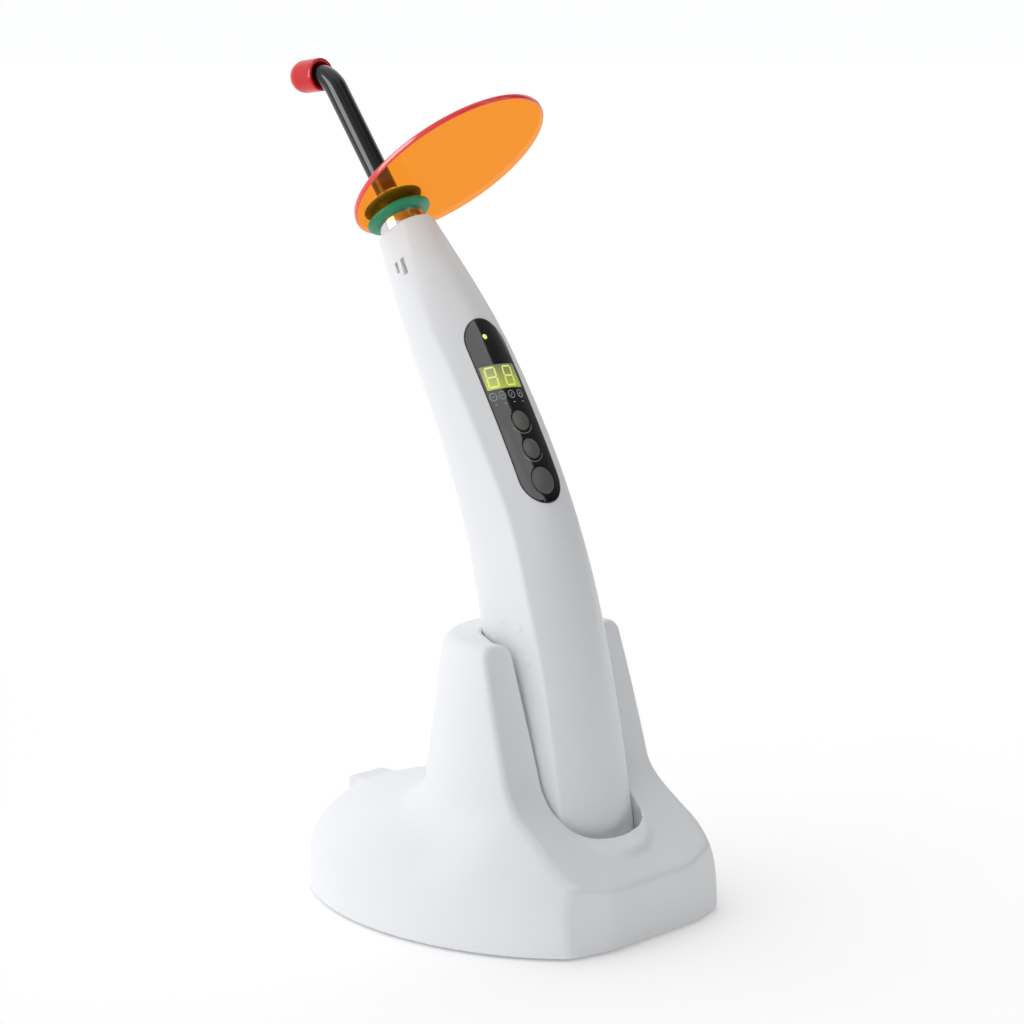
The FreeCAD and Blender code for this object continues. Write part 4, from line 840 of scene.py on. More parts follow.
MARK_TOP, MARK_ROOT = PANEL_TOP + 0.02, PANEL_TOP - 0.1


def bar(s0, q0, s1, q1, width, root=MARK_ROOT):
    """Slim raised bar with pointed ends."""
    start = np.array([s0, q0])
    along = np.array([s1 - s0, q1 - q0])
    length = np.linalg.norm(along)
    along = along / length
    across = np.array([-along[1], along[0]])
    half = width / 2
    point = min(half, length / 3)
    places = [0.02] + list(np.linspace(point, length - point, 8)) + [length - 0.02]
    sections = []
    for t in places:
        reach = 0.04 if t in (places[0], places[-1]) else half
        section = []
        for side, h in ((1, MARK_TOP), (-1, MARK_TOP), (-1, root), (1, root)):
            s, q = start + along * t + across * reach * side
            section.append((s, q, h))
        sections.append(section)
    return rail(sections)


def arc(s, q, inner_r, outer_r, start=0.0, end=360.0, seg=28):
    """Raised ring, or part of one between two angles in degrees."""
    closed = abs(end - start) >= 359.9
    sections = []
    for k in range(seg if closed else seg + 1):
        angle = math.radians(start + (end - start) * k / seg)
        sections.append([(s + r * math.cos(angle), q + r * math.sin(angle), h)
                         for r, h in ((inner_r, MARK_TOP), (outer_r, MARK_TOP),
                                      (outer_r, MARK_ROOT), (inner_r, MARK_ROOT))])
    return rail(sections, closed)


def display_digits():
    """Two seven-segment figures, leaning a little."""
    height, width, lean, gap = 7.0, 4.1, 0.09, 0.02
    low, high = 0 + gap, 1 - gap
    segments = [        # u across and v up at both ends, as shares of the digit
        (low, 1, high, 1), (low, 0.5, high, 0.5), (low, 0, high, 0),
        (0, 0.5 + gap, 0, high), (1, 0.5 + gap, 1, high),
        (0, low, 0, 0.5 - gap), (1, low, 1, 0.5 - gap)]
    bars = []
    for middle_q in (-5.0, 2.9):
        def place(u, v):
            return (WINDOW_S - height / 2 + v * height,
                    middle_q + (u - 0.5) * width + (v - 0.5) * height * lean)
        for u0, v0, u1, v1 in segments:
            bars.append(bar(*place(u0, v0), *place(u1, v1), 0.58, root=PANEL_TOP - 0.12))
    add_piece("display_digits", *merged(bars), LIT_DIGIT, smooth=30.0, body="handpiece",
              node="display_module", replaces=False)


def printed_marks():
    """Ringed icons and ticks under the display, part rings round the upper buttons."""
    icon_s, icon_q = -1.9, (-7.4, -3.6, 0.6, 5.0)

    def stroke(icon, s0, q0, s1, q1):
        return bar(icon_s + s0, icon_q[icon] + q0, icon_s + s1, icon_q[icon] + q1, 0.24)

    marks = [arc(icon_s, q, 1.24, 1.5) for q in icon_q]
    marks += [
        stroke(0, 0.1, -0.7, 0.1, 0.7),
        arc(icon_s - 0.45, icon_q[1], 0.6, 0.8, -75, 75, 12),
        stroke(2, -0.4, -0.65, -0.4, 0),
        stroke(2, 0.35, 0, 0.35, 0.65),
        stroke(2, -0.4, 0.02, 0.35, 0.02),
        stroke(3, -0.55, -0.65, 0.5, 0),
        stroke(3, 0.5, 0, -0.55, 0.65)]
    marks += [bar(icon_s - 2.9, q - 0.55, icon_s - 2.9, q + 0.55, 0.3) for q in icon_q]
    marks += [arc(s, 0, 4.75, 4.9, 115, 245, 30) for s in (MODE_S, TIME_S)]
    add_piece("printed_marks", *merged(marks), PRINT_GREY, smooth=30.0, body="handpiece",
              node="mode_indicators")


def face_frame(s, q=0.0):
    """Frame on the display face with its local z along the face's normal."""
    x, _, z = on_face(s, 0, 0)
    return tilted_frame(x, z, 90.0 - station(PANEL_ORIGIN - s).tilt, y=q)


def quarter(steps, first=0):
    """Angles of a quarter turn, from the given step on."""
    return [math.pi / 2 * k / steps for k in range(first, steps + 1)]


def button(key, s, r):
    """Key cap with a rounded edge and a slightly domed top."""
    shoulder, edge, rise, crown = 0.12, 0.42, 0.36, 0.42
    profile = [(0, -2.2), (r - 0.1, -2.2), (r, -2.1), (r, shoulder)]
    profile += [(r - edge * (1 - math.cos(a)), shoulder + rise * math.sin(a))
                for a in quarter(8, 1)]
    top_r, top_z = profile[-1]
    for k in range(1, 12):
        u = 1 - k / 11
        profile.append((top_r * u, top_z + crown * (1 - u * u)))
    lathe(key + "_key_cap", profile, face_frame(s), BUTTON_GREY, 72, smooth=30.0,
          body=key + "_key", node=key + "_button")


def power_lamp():
    profile = [(0, -2.0), (LAMP_R, -2.0), (LAMP_R, 0.1)]
    profile += [(LAMP_R * math.cos(a), 0.1 + 0.4 * math.sin(a)) for a in quarter(6, 1)]
    lathe("power_lamp", profile, face_frame(LAMP_S, LAMP_Q), LAMP_GREEN, 32, smooth=60.0,
          body="handpiece", node="power_indicator")


display_digits()
printed_marks()
button("mode", MODE_S, SMALL_R)
button("time", TIME_S, SMALL_R)
button("power", POWER_S, LARGE_R)
power_lamp()

# ---------------------------------------------------------------------------
# light guide, in the guide's frame: its axis runs along z, then bends towards local -x
# ---------------------------------------------------------------------------
FERRULE = [     # radius, z, rounding of the corner
    (4.05, -16.0, 0), (7.0, -16.0, 0.6), (7.0, -2.0, 0.2), (8.5, -2.0, 0.3), (8.5, 6.9, 0.5),
    (6.0, 7.0, 0.2), (6.0, 14.8, 0.6), (4.7, 16.6, 0.5), (4.05, 16.6, 0.2)]
lathe("ferrule", rounded(FERRULE), guide, STEEL, 128, smooth=35.0, body="light_guide",
      node="guide_ferrule")

ROD_R, ROD_START, ROD_END_R = 4.0, -15.5, 0.5
BEND_DEG, BEND_R = 60.0, 12.0
BEND = math.radians(BEND_DEG)
BEND_REACH = BEND_R * math.tan(BEND / 2)    # from the corner of the axis to the bend's ends
CORNER_Z = 67.9
TIP_REACH, CAP_REACH = 13.5, 3.8            # rod's tip and cap's rim, past the corner


def beyond_corner(distance):
    return -math.sin(BEND) * distance, CORNER_Z + math.cos(BEND) * distance


def guide_rod(seg=64):
    path = [(0.0, z, 0.0) for z in np.linspace(ROD_START, CORNER_Z - BEND_REACH, 40)]
    for k in range(1, 25):
        a = BEND * k / 24
        path.append((-BEND_R + BEND_R * math.cos(a),
                     CORNER_Z - BEND_REACH + BEND_R * math.sin(a), a))
    for k in range(1, 7):
        distance = BEND_REACH + (TIP_REACH - BEND_REACH) * k / 6
        path.append((*beyond_corner(distance), BEND))
    rings = [(np.array([x, 0, z]), ROD_R, a) for x, z, a in path[:-1]]
    tip = np.array([path[-1][0], 0, path[-1][1]])
    forward = np.array([-math.sin(BEND), 0, math.cos(BEND)])
    for b in quarter(5):        # rounded tip
        rings.append((tip - forward * ROD_END_R * (1 - math.sin(b)),
                      ROD_R - ROD_END_R * (1 - math.cos(b)), BEND))
    verts = []
    for centre, r, a in rings:
        side = np.array([math.cos(a), 0, math.sin(a)])
        for j in range(seg):
            t = 2 * math.pi * j / seg
            verts.append(centre + side * (r * math.cos(t))
                         + np.array([0, 1, 0]) * (r * math.sin(t)))
    faces = tube_walls(len(rings), seg) + tube_ends(len(rings), seg)
    add_piece("guide_rod", guide(verts), faces, ROD_BLACK, smooth=35.0, body="light_guide",
              node="guide_sheath")


def tip_cap():
    """Hollow cap with a hemispherical end, pushed over the rod's tip."""
    r, dome_z = 5.9, 8.2
    x, z = beyond_corner(CAP_REACH)
    rim = guide([[x, 0, z]])[0]
    profile = [(4.6, 0.35), (4.75, 0.1), (5.05, 0.0), (5.5, 0.0), (5.78, 0.12), (r, 0.4)]
    profile += [(r, z) for z in (1.5, 3.0, 4.5, 6.0, 7.2)]
    profile += [(r * math.cos(a), dome_z + r * math.sin(a)) for a in quarter(16)]
    profile += [(0.0, 10.4), (4.05, 10.4), (4.05, 5.4), (4.6, 4.6)]
    lathe("tip_cap_red", profile, tilted_frame(rim[0], rim[2], GUIDE_TILT - BEND_DEG),
          CAP_RED, 96, smooth=40.0, body="cap", node="tip_cap")


guide_rod()
tip_cap()

# ---------------------------------------------------------------------------
# eye shield and its grommet
# ---------------------------------------------------------------------------
SHIELD_Z = 10.46            # middle of the sheet along the guide's axis
GROMMET = [     # radius, z from the sheet's middle, rounding; two flanges about the sheet
    (6.05, -4.1, 0.4), (8.8, -4.3, 0.8), (11.0, -4.0, 0.6), (11.8, -3.1, 0.4),
    (11.6, -2.2, 0.25), (9.6, -1.85, 0.3), (7.6, -1.7, 0.1), (7.6, 1.7, 0.1),
    (9.6, 1.85, 0.3), (10.7, 2.0, 0.25), (10.9, 2.5, 0.4), (10.3, 2.95, 0.5),
    (8.6, 3.1, 0.6), (6.05, 3.1, 0.4)]
lathe("grommet", rounded([(r, SHIELD_Z + z, rounding) for r, z, rounding in GROMMET]), guide,
      SILICONE, 128, smooth=50.0, body="shield", node="shield_grommet")

OVAL_A, OVAL_B = 38.3, 32.45        # half length and half width
OVAL_SHIFT = 24.85                  # oval's centre from the hole's centre, along local x
SHEET = 2.0                         # thickness
EDGE_R = 0.6
HOLE_R, HOLE_BEVEL = 7.9, 0.15
HOLE_MOUTH_R = 8.0


def shield_rotation(yaw=20.5, roll=-1.5, pitch=-4.1):
    yaw, roll = math.radians(yaw), math.radians(roll)
    about_z = np.array([[math.cos(yaw), -math.sin(yaw), 0],
                        [math.sin(yaw), math.cos(yaw), 0], [0, 0, 1]])
    about_x = np.array([[1, 0, 0], [0, math.cos(roll), -math.sin(roll)],
                        [0, math.sin(roll), math.cos(roll)]])
    return about_z @ about_x @ rotation_y(pitch)


def eye_shield(seg=192):
    """Oval sheet with a hole near one end; its edge band has its own material."""
    def oval(k, inset):
        a = 2 * math.pi * k / seg
        nx, ny = math.cos(a) / OVAL_A, math.sin(a) / OVAL_B
        length = math.hypot(nx, ny)
        return np.array([OVAL_SHIFT + OVAL_A * math.cos(a) - nx / length * inset,
                         OVAL_B * math.sin(a) - ny / length * inset])

    def hole(k, r):
        # the hole's point in the direction of the oval's point
        x, y = oval(k, 0)
        a = math.atan2(y, x)
        return np.array([r * math.cos(a), r * math.sin(a)])

    def across(k, share):
        return oval(k, EDGE_R) * (1 - share) + hole(k, HOLE_R) * share

    top = SHEET / 2
    shares = [0.06, 0.25, 0.5, 0.75, 0.94]      # rows between edge and hole
    rows = []
    for sign, start in ((-1, -math.pi / 2), (1, 0.0)):
        for a in quarter(5):
            a = start + a
            rows.append((oval, EDGE_R * (1 - math.cos(a)),
                         sign * (top - EDGE_R) + EDGE_R * math.sin(a)))
    rows += [(across, share, top) for share in shares]
    rows += [(hole, HOLE_MOUTH_R, top), (hole, HOLE_R, top - HOLE_BEVEL),
             (hole, HOLE_R, -top + HOLE_BEVEL), (hole, HOLE_MOUTH_R, -top)]
    rows += [(across, share, -top) for share in shares[::-1]]
    verts = [(*place(k, value), z) for place, value, z in rows for k in range(seg)]
    rotation = shield_rotation()
    placed = guide(np.array(verts) @ rotation.T + np.array([0, 0, SHIELD_Z]))
    ob = solid("eye_shield_sheet", placed, tube_walls(len(rows), seg, closed=True))
    ob.data.materials.append(SHIELD_ORANGE)
    ob.data.materials.append(SHIELD_RIM)
    # faces of the edge band are the ones whose centres lie outside a smaller oval
    band = 0.55
    for face in ob.data.polygons:
        local = (np.array(face.center) / MM - GUIDE_ORIGIN) @ rotation_y(GUIDE_TILT)
        local = (local - np.array([0, 0, SHIELD_Z])) @ rotation
        if math.hypot((local[0] - OVAL_SHIFT) / (OVAL_A - band),
                      local[1] / (OVAL_B - band)) > 1.0:
            face.material_index = 1
    smooth_by_angle(ob.data, 40.0)
    register(ob, "shield", "eye_shield")


eye_shield()

# ---------------------------------------------------------------------------
# cradle: one closed surface from a distance function, negative inside the material
# ---------------------------------------------------------------------------
BASE_Z = 0.8                # underside
DOME_X, DOME_A, DOME_B, DOME_H, DOME_POWER = -1.34, 80.4, 61.1, 38.35, 3.13
TOWER_X, TOWER_TOP = 14.5, 96.8
TOWER_R, TOWER_R_Z, TOWER_SLOPE = 34.4, 90.7, 0.128     # radius at a height, flare per mm
# x, z of the +X side from the base up: low wall, slanted face, tower face
FRONT_LINE = [(66.6, 0.0), (65.2, 20.9), (33.3, 45.2), (19.0, 96.6)]
# side facets of the low wall: normal in plan, a point on them, lean per mm of height
FACET_NX, FACET_NY = 14.3 / 14.82, 3.9 / 14.82
FACET_X, FACET_Y, FACET_LEAN = 66.5, 22.7, 0.10
# pocket for the handle; along its leaning axes n (towards +X) and up
POCKET_COS, POCKET_SIN = math.cos(math.radians(12)), math.sin(math.radians(12))
POCKET_HALF, POCKET_FLOOR = 18.3, 14.7
POCKET_BACK, POCKET_BACK_REACH, POCKET_BACK_POWER = 34.5, 20.5, 2.4
POCKET_FRONT, POCKET_FRONT_REACH, POCKET_FRONT_POWER = 45.5, 10.4, 2.5
# raised lip round the pocket's +X end
LIP_X, LIP_A, LIP_B, LIP_LOW = 43.6, 13.2, 17.4, 20.0
LIP_TOP_LINE = [(57.4, 28.9), (45.4, 34.4)]
# socket block at the -X end, and its round opening
BLOCK_END, BLOCK_INNER, BLOCK_HALF, BLOCK_TOP, BLOCK_EDGE = -75.5, -45.0, 8.6, 30.4, 1.3
SOCKET_Z, SOCKET_R = 18.5, 4.1
WALL_INNER = -73.4          # inner face of the block's end wall
# hollow
HOUSING_WALL, POCKET_WALL = 2.6, 2.2
PIN_X, PIN_Y, PIN_HOLE_R = 29.0, 7.0, 1.7


def common(*parts):
    """Sharp intersection."""
    return functools.reduce(np.maximum, parts)


def round_common(a, b, r):
    return (np.minimum(-r, np.maximum(a, b))
            + np.hypot(np.maximum(r + a, 0), np.maximum(r + b, 0)))


def round_union(a, b, r):
    return (np.maximum(r, np.minimum(a, b))
            - np.hypot(np.maximum(r - a, 0), np.maximum(r - b, 0)))


def share_of(value, start, span):
    return np.clip((value - start) / span, 0, 1)


def eased(size, u):
    return size * u * u * (3 - 2 * u)


def dome_distance(x, y, z, a, b, height):
    """Superelliptic dome, taller towards +X."""
    power = DOME_POWER
    rr = np.sqrt(((x - DOME_X) / a) ** 2 + (y / b) ** 2) + 1e-9
    height = height + eased(7.3, share_of(x, 6.0, 30.0))
    zz = np.maximum(z, 0) / height + 1e-9
    level = (rr ** power + zz ** power) ** (1 / power)
    k = level ** (1 - power)
    gx = k * rr ** (power - 1) * ((x - DOME_X) / a ** 2) / rr
    gy = k * rr ** (power - 1) * (y / b ** 2) / rr
    gz = k * zz ** (power - 1) / height
    return (level - 1) / (np.sqrt(gx * gx + gy * gy + gz * gz) + 1e-9)


def line_distance(x, z, p, q, inset=0.0):
    """Distance to the line p -> q in the XZ plane; negative on its left."""
    dx, dz = q[0] - p[0], q[1] - p[1]
    return ((x - p[0]) * dz - (z - p[1]) * dx) / math.hypot(dx, dz) + inset


def body_distance(x, y, z, inset=0.0):
    """Dome and tower, cut by the faces at the +X side."""
    d = dome_distance(x, y, z, DOME_A - inset, DOME_B - inset, DOME_H - inset)
    r = np.hypot(x - TOWER_X, y)
    slope = TOWER_SLOPE
    side = (r - (TOWER_R + slope * (TOWER_R_Z - z))) / math.sqrt(1 + slope * slope) + inset
    tower = round_common(side, z - TOWER_TOP + inset, 4.0)
    d = round_union(d, tower, 9.0)
    low, slant, upper = [line_distance(x, z, p, q, inset)
                         for p, q in zip(FRONT_LINE, FRONT_LINE[1:])]
    d = round_common(d, round_union(slant, upper, 3.5), 1.6)
    lean = FACET_LEAN * np.maximum(z, 0)
    for sign in (1, -1):
        facet = (x - FACET_X + lean) * FACET_NX + (sign * y - FACET_Y) * FACET_NY + inset
        low = round_common(low, facet, 0.8)
    return round_common(d, low, 1.0)


def rounded_end(beyond, reach, across, half, power):
    """Superelliptic end of the pocket; beyond is the distance past where it starts."""
    nn = np.maximum(beyond, 0) / reach + 1e-9
    ww = across / half + 1e-9
    e = (nn ** power + ww ** power) ** (1 / power)
    k = e ** (1 - power)
    slope = np.hypot(k * nn ** (power - 1) / reach, k * ww ** (power - 1) / half) + 1e-9
    return (e - 1) / slope


def pocket_distance(x, y, z, grow=0.0):
    n = x * POCKET_COS + z * POCKET_SIN
    up = -x * POCKET_SIN + z * POCKET_COS
    # wider towards the top and +X, with a slight bulge near z = 42
    widening = np.clip((z - 40.0) / 56.0, 0, 1.2) * 2.3
    half = POCKET_HALF + eased(widening, share_of(n, 15.0, 20.0)) + grow
    half = half + 0.6 * np.exp(-((z - 42.0) / 9.0) ** 2)
    across = np.sqrt(y * y + 1e-6)
    back = rounded_end(POCKET_BACK - n, POCKET_BACK_REACH + grow, across, half,
                       POCKET_BACK_POWER)
    front_end = rounded_end(n - POCKET_FRONT, POCKET_FRONT_REACH + grow, across, half,
                            POCKET_FRONT_POWER)
    d = np.where(n < POCKET_BACK, back, across - half)
    d = np.maximum(d, np.where(n > POCKET_FRONT, front_end, -50.0))
    return np.maximum(d, (POCKET_FLOOR - grow) - up)


def lip_distance(x, y, z):
    e = np.sqrt(((x - LIP_X) / LIP_A) ** 2 + (y / LIP_B) ** 2) + 1e-9
    slope = np.sqrt(((x - LIP_X) / LIP_A ** 2) ** 2 + (y / LIP_B ** 2) ** 2) / e + 1e-9
    top = line_distance(x, z, *LIP_TOP_LINE)
    return round_common(round_common((e - 1) / slope, top, 1.3), LIP_LOW - z, 1.0)


def block_distance(x, y, z):
    ends = np.maximum(BLOCK_END - x, x - BLOCK_INNER)
    section = round_common(np.abs(y) - BLOCK_HALF, z - BLOCK_TOP, BLOCK_EDGE)
    return round_common(section, ends, BLOCK_EDGE)


def hollow_distance(x, y, z):
    """Inside of the housing, clear of the pocket's wall and the block's end wall."""
    inner = np.maximum(body_distance(x, y, z, HOUSING_WALL),
                       -pocket_distance(x, y, z, POCKET_WALL))
    block_room = common(np.abs(y) - 6.4, np.abs(z - 18.0) - 9.0,
                        WALL_INNER - x, x - BLOCK_INNER)
    end_wall = common(-76.0 - x, x - WALL_INNER, np.abs(y) - 10.6, 5.0 - z)
    return np.maximum(np.minimum(inner, block_room), -end_wall)


def cradle_distance(x, y, z):
    d = body_distance(x, y, z)
    d = round_union(d, lip_distance(x, y, z), 1.6)
    d = round_union(d, block_distance(x, y, z), 1.6)
    # notch beyond the block's end, and the round opening through its wall
    d = round_common(d, -common(x - BLOCK_END, np.abs(y) - BLOCK_HALF, 7.0 - z), 0.7)
    d = np.maximum(d, -np.maximum(np.hypot(y, z - SOCKET_Z) - SOCKET_R, x + 72.0))
    pocket = pocket_distance(x, y, z)
    d = round_common(d, -pocket, 1.0)
    # the pocket's mouth is rounded more towards +X
    mouth = share_of(x * POCKET_COS + z * POCKET_SIN, 24.0, 12.0)
    d = np.maximum(d, round_common(z - TOWER_TOP, -pocket, 0.8 + eased(4.6, mouth)))
    d = round_common(d, BASE_Z - z, 0.9)
    d = np.maximum(d, -hollow_distance(x, y, z))
    for sign in (1, -1):        # openings for the two contact pins
        opening = np.hypot(x - PIN_X, y - sign * PIN_Y) - PIN_HOLE_R
        d = np.maximum(d, -np.maximum(opening, z - 30.0))
    return d


def pull_to_surface(distance, points, cell, rounds=3, h=0.05):
    """Newton steps towards distance 0, never further than one cell from the start."""
    start = points.copy()
    for _ in range(rounds):
        x, y, z = points[:, 0], points[:, 1], points[:, 2]
        d = distance(x, y, z)
        gradient = np.c_[distance(x + h, y, z) - distance(x - h, y, z),
                         distance(x, y + h, z) - distance(x, y - h, z),
                         distance(x, y, z + h) - distance(x, y, z - h)] / (2 * h)
        square = np.sum(gradient * gradient, axis=1)
        ok = square > 0.05
        step = np.zeros_like(points)
        step[ok] = gradient[ok] * (d[ok] / square[ok])[:, None]
        length = np.linalg.norm(step, axis=1)
        points -= step * np.minimum(1, 0.5 * cell / np.maximum(length, 1e-9))[:, None]
        moved = points - start
        length = np.linalg.norm(moved, axis=1)
        far = length > cell
        points[far] = start[far] + moved[far] * (cell / length[far])[:, None]
    return points


def surface_net(distance, low, high, cell):
    """Quad mesh with one vertex in every grid cell that the surface crosses."""
    n = [int(math.ceil((high[i] - low[i]) / cell)) + 1 for i in range(3)]
    axes = [low[i] + cell * np.arange(n[i]) for i in range(3)]
    field = np.empty(n, np.float32)
    for i in range(0, n[0], 16):        # in slabs, to spare memory
        x, y, z = np.meshgrid(axes[0][i:i + 16], axes[1], axes[2], indexing="ij")
        field[i:i + 16] = distance(x, y, z)
    field[0] = field[-1] = 1
    field[:, 0] = field[:, -1] = 1
    field[:, :, 0] = field[:, :, -1] = 1
    inside = field < 0
    corners = [(dx, dy, dz) for dx in (0, 1) for dy in (0, 1) for dz in (0, 1)]
    total = np.zeros([q - 1 for q in n], np.int8)
    for dx, dy, dz in corners:
        total += inside[dx:n[0] - 1 + dx, dy:n[1] - 1 + dy, dz:n[2] - 1 + dz]
    active = (total > 0) & (total < 8)
    cells = np.argwhere(active)
    ids = np.full(active.shape, -1, np.int64)
    ids[active] = np.arange(len(cells))

    # each vertex is the mean of the crossings on its cell's edges
    crossings = np.zeros((len(cells), 3))
    count = np.zeros(len(cells))
    for a in corners:
        for axis in range(3):
            if a[axis] == 1:
                continue
            b = list(a)
            b[axis] = 1
            va, vb = [field[cells[:, 0] + c[0], cells[:, 1] + c[1],
                            cells[:, 2] + c[2]].astype(np.float64) for c in (a, b)]
            crossed = (va < 0) != (vb < 0)
            t = np.where(crossed, va / np.where(crossed, va - vb, 1), 0)
            point = np.tile(np.array(a, float), (len(cells), 1))
            point[:, axis] += t
            crossings[crossed] += point[crossed]
            count[crossed] += 1
    points = (crossings / count[:, None] + cells) * cell + np.array(low)

    # each crossed grid edge gives a quad between the four cells round it
    quads = []
    for axis in range(3):
        u, v = (axis + 1) % 3, (axis + 2) % 3
        lower, upper = [slice(None)] * 3, [slice(None)] * 3
        lower[axis] = slice(0, -1)
        upper[axis] = slice(1, None)
        a, b = inside[tuple(lower)], inside[tuple(upper)]
        edges = np.argwhere(a != b)
        ok = ((edges[:, u] > 0) & (edges[:, v] > 0)
              & (edges[:, u] < n[u] - 1) & (edges[:, v] < n[v] - 1))
        edges = edges[ok]
        outward = a[edges[:, 0], edges[:, 1], edges[:, 2]]
        ring = []
        for du, dv in ((1, 1), (0, 1), (0, 0), (1, 0)):
            q = edges.copy()
            q[:, u] -= du
            q[:, v] -= dv
            ring.append(ids[q[:, 0], q[:, 1], q[:, 2]])
        quads.append(np.where(outward[:, None], np.c_[tuple(ring)], np.c_[tuple(ring[::-1])]))
    return pull_to_surface(distance, points, cell), np.vstack(quads)


GRID_CELL = 0.85
points, quads = surface_net(cradle_distance, (-84.0, -64.0, -0.9), (70.0, 64.0, 99.5),
                            GRID_CELL)
housing = solid("cradle_housing", points, quads.tolist(), merge=False)
finish_piece(housing, CRADLE_WHITE, 48.0, "base", "base_housing")

# ---------------------------------------------------------------------------
# springs under the charging pins, which can be pressed
# ---------------------------------------------------------------------------
SPRING_WIRE = material("spring_wire", srgb(190, 190, 190), rough=0.25, metal=1.0,
                       rough_var=0.05)


def pin_spring(side, wire_r=0.15, turns=5, steps=240, seg=8):
    node = "contact_spring_" + side
    low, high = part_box(node)        # metres
    x, y = (low.x + high.x) / 2 / MM, (low.y + high.y) / 2 / MM
    z0, z1 = low.z / MM, high.z / MM
    coil_r = (high.x - low.x) / 2 / MM - wire_r
    verts = []
    for i in range(steps + 1):
        u = i / steps
        a = 2 * math.pi * turns * u
        centre = np.array([x + coil_r * math.cos(a), y + coil_r * math.sin(a),
                           z0 + wire_r + (z1 - z0 - 2 * wire_r) * u])
        outward = np.array([math.cos(a), math.sin(a), 0.0])
        for j in range(seg):
            b = 2 * math.pi * j / seg
            verts.append(centre + outward * wire_r * math.cos(b)
                         + np.array([0, 0, 1.0]) * wire_r * math.sin(b))
    faces = tube_walls(steps + 1, seg) + tube_ends(steps + 1, seg)
    ob = add_piece("pin_spring_" + side, verts, faces, SPRING_WIRE, smooth=40.0, body="base",
                   node=node)
    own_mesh(ob)


pin_spring("left")
pin_spring("right")

# ---------------------------------------------------------------------------
# CAD pieces shown as they are
# ---------------------------------------------------------------------------
BOARD = dict(rough=0.35, coat=0.3, mottle=0.15, mottle_scale=150)
DULL = dict(rough=0.5, mottle=0.1)
ZINC = dict(rough=0.3, metal=1.0, mottle=0.05, rough_var=0.08)
GOLD = dict(rough=0.2, metal=1.0, rough_var=0.05)
CAD_MATERIALS = {
    "base_cover": material("cover_plastic", srgb(214, 214, 212), rough=0.5, mottle=0.04,
                           bump=0.1),
    "rubber_feet": RUBBER,
    "cover_screws": material("zinc", srgb(170, 170, 172), **ZINC),
    "shell_screws": material("zinc_small", srgb(170, 170, 172), **ZINC),
    "ballast_plate": material("cast_ballast", srgb(70, 70, 74), rough=0.6, metal=0.8,
                              mottle=0.2, bump=0.4),
    "charging_board": material("solder_mask", srgb(22, 92, 48), **BOARD),
    "charging_parts": material("moulded_parts", srgb(36, 36, 38), **DULL),
    "pin_guide": material("guide_nylon", srgb(40, 40, 42), rough=0.55, mottle=0.1),
    "power_jack": material("jack_black", srgb(28, 28, 30), rough=0.45, mottle=0.1),
    "jack_leads": material("lead_red", srgb(160, 30, 30), **DULL),
    "display_module": material("display_block", srgb(60, 66, 40), **DULL),
    "main_board": material("solder_mask_b", srgb(22, 92, 48), **BOARD),
    "tactile_switches": material("switch_black", srgb(34, 34, 36), **DULL),
    "board_chips": material("chip_black", srgb(34, 34, 36), **DULL),
    "buzzer": material("buzzer_black", srgb(30, 30, 30), **DULL),
    "battery_cell": material("battery_sleeve", srgb(40, 90, 150), rough=0.3, coat=0.3,
                             mottle=0.05),
    "battery_clips": material("nickel", srgb(200, 198, 190), rough=0.25, metal=1.0,
                              rough_var=0.05),
    "charge_terminals": material("gold", srgb(222, 180, 90), **GOLD),
    "contact_pin_left": material("gold_pin", srgb(222, 180, 90), **GOLD),
    "contact_pin_right": material("gold_pin_b", srgb(222, 180, 90), **GOLD),
    "nose_bush": material("turned_aluminium", srgb(190, 192, 196), rough=0.3, metal=1.0,
                          rough_var=0.08),
    "collimator_lens": material("clear_lens", srgb(235, 240, 245), rough=0.05, coat=0.5,
                                mottle=0.02),
    "led_emitter": material("emitter", srgb(230, 220, 110), rough=0.4, mottle=0.1),
    "heat_sink": material("sink_aluminium", srgb(160, 162, 166), rough=0.35, metal=1.0,
                          rough_var=0.08),
    "emitter_leads": material("lead_red_b", srgb(160, 30, 30), **DULL),
    "battery_leads": material("lead_black", srgb(30, 30, 30), **DULL),
    "retainer_ring": material("ring_rubber", srgb(20, 20, 20), rough=0.6, mottle=0.1),
    "guide_core": FIBRE,
}
for name, mat in CAD_MATERIALS.items():
    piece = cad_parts.get(name)
    if piece is None:
        continue
    for slot in piece.material_slots:
        slot.material = mat
    if not piece.material_slots:
        piece.data.materials.append(mat)

# ---------------------------------------------------------------------------
# studio, in metres
# ---------------------------------------------------------------------------


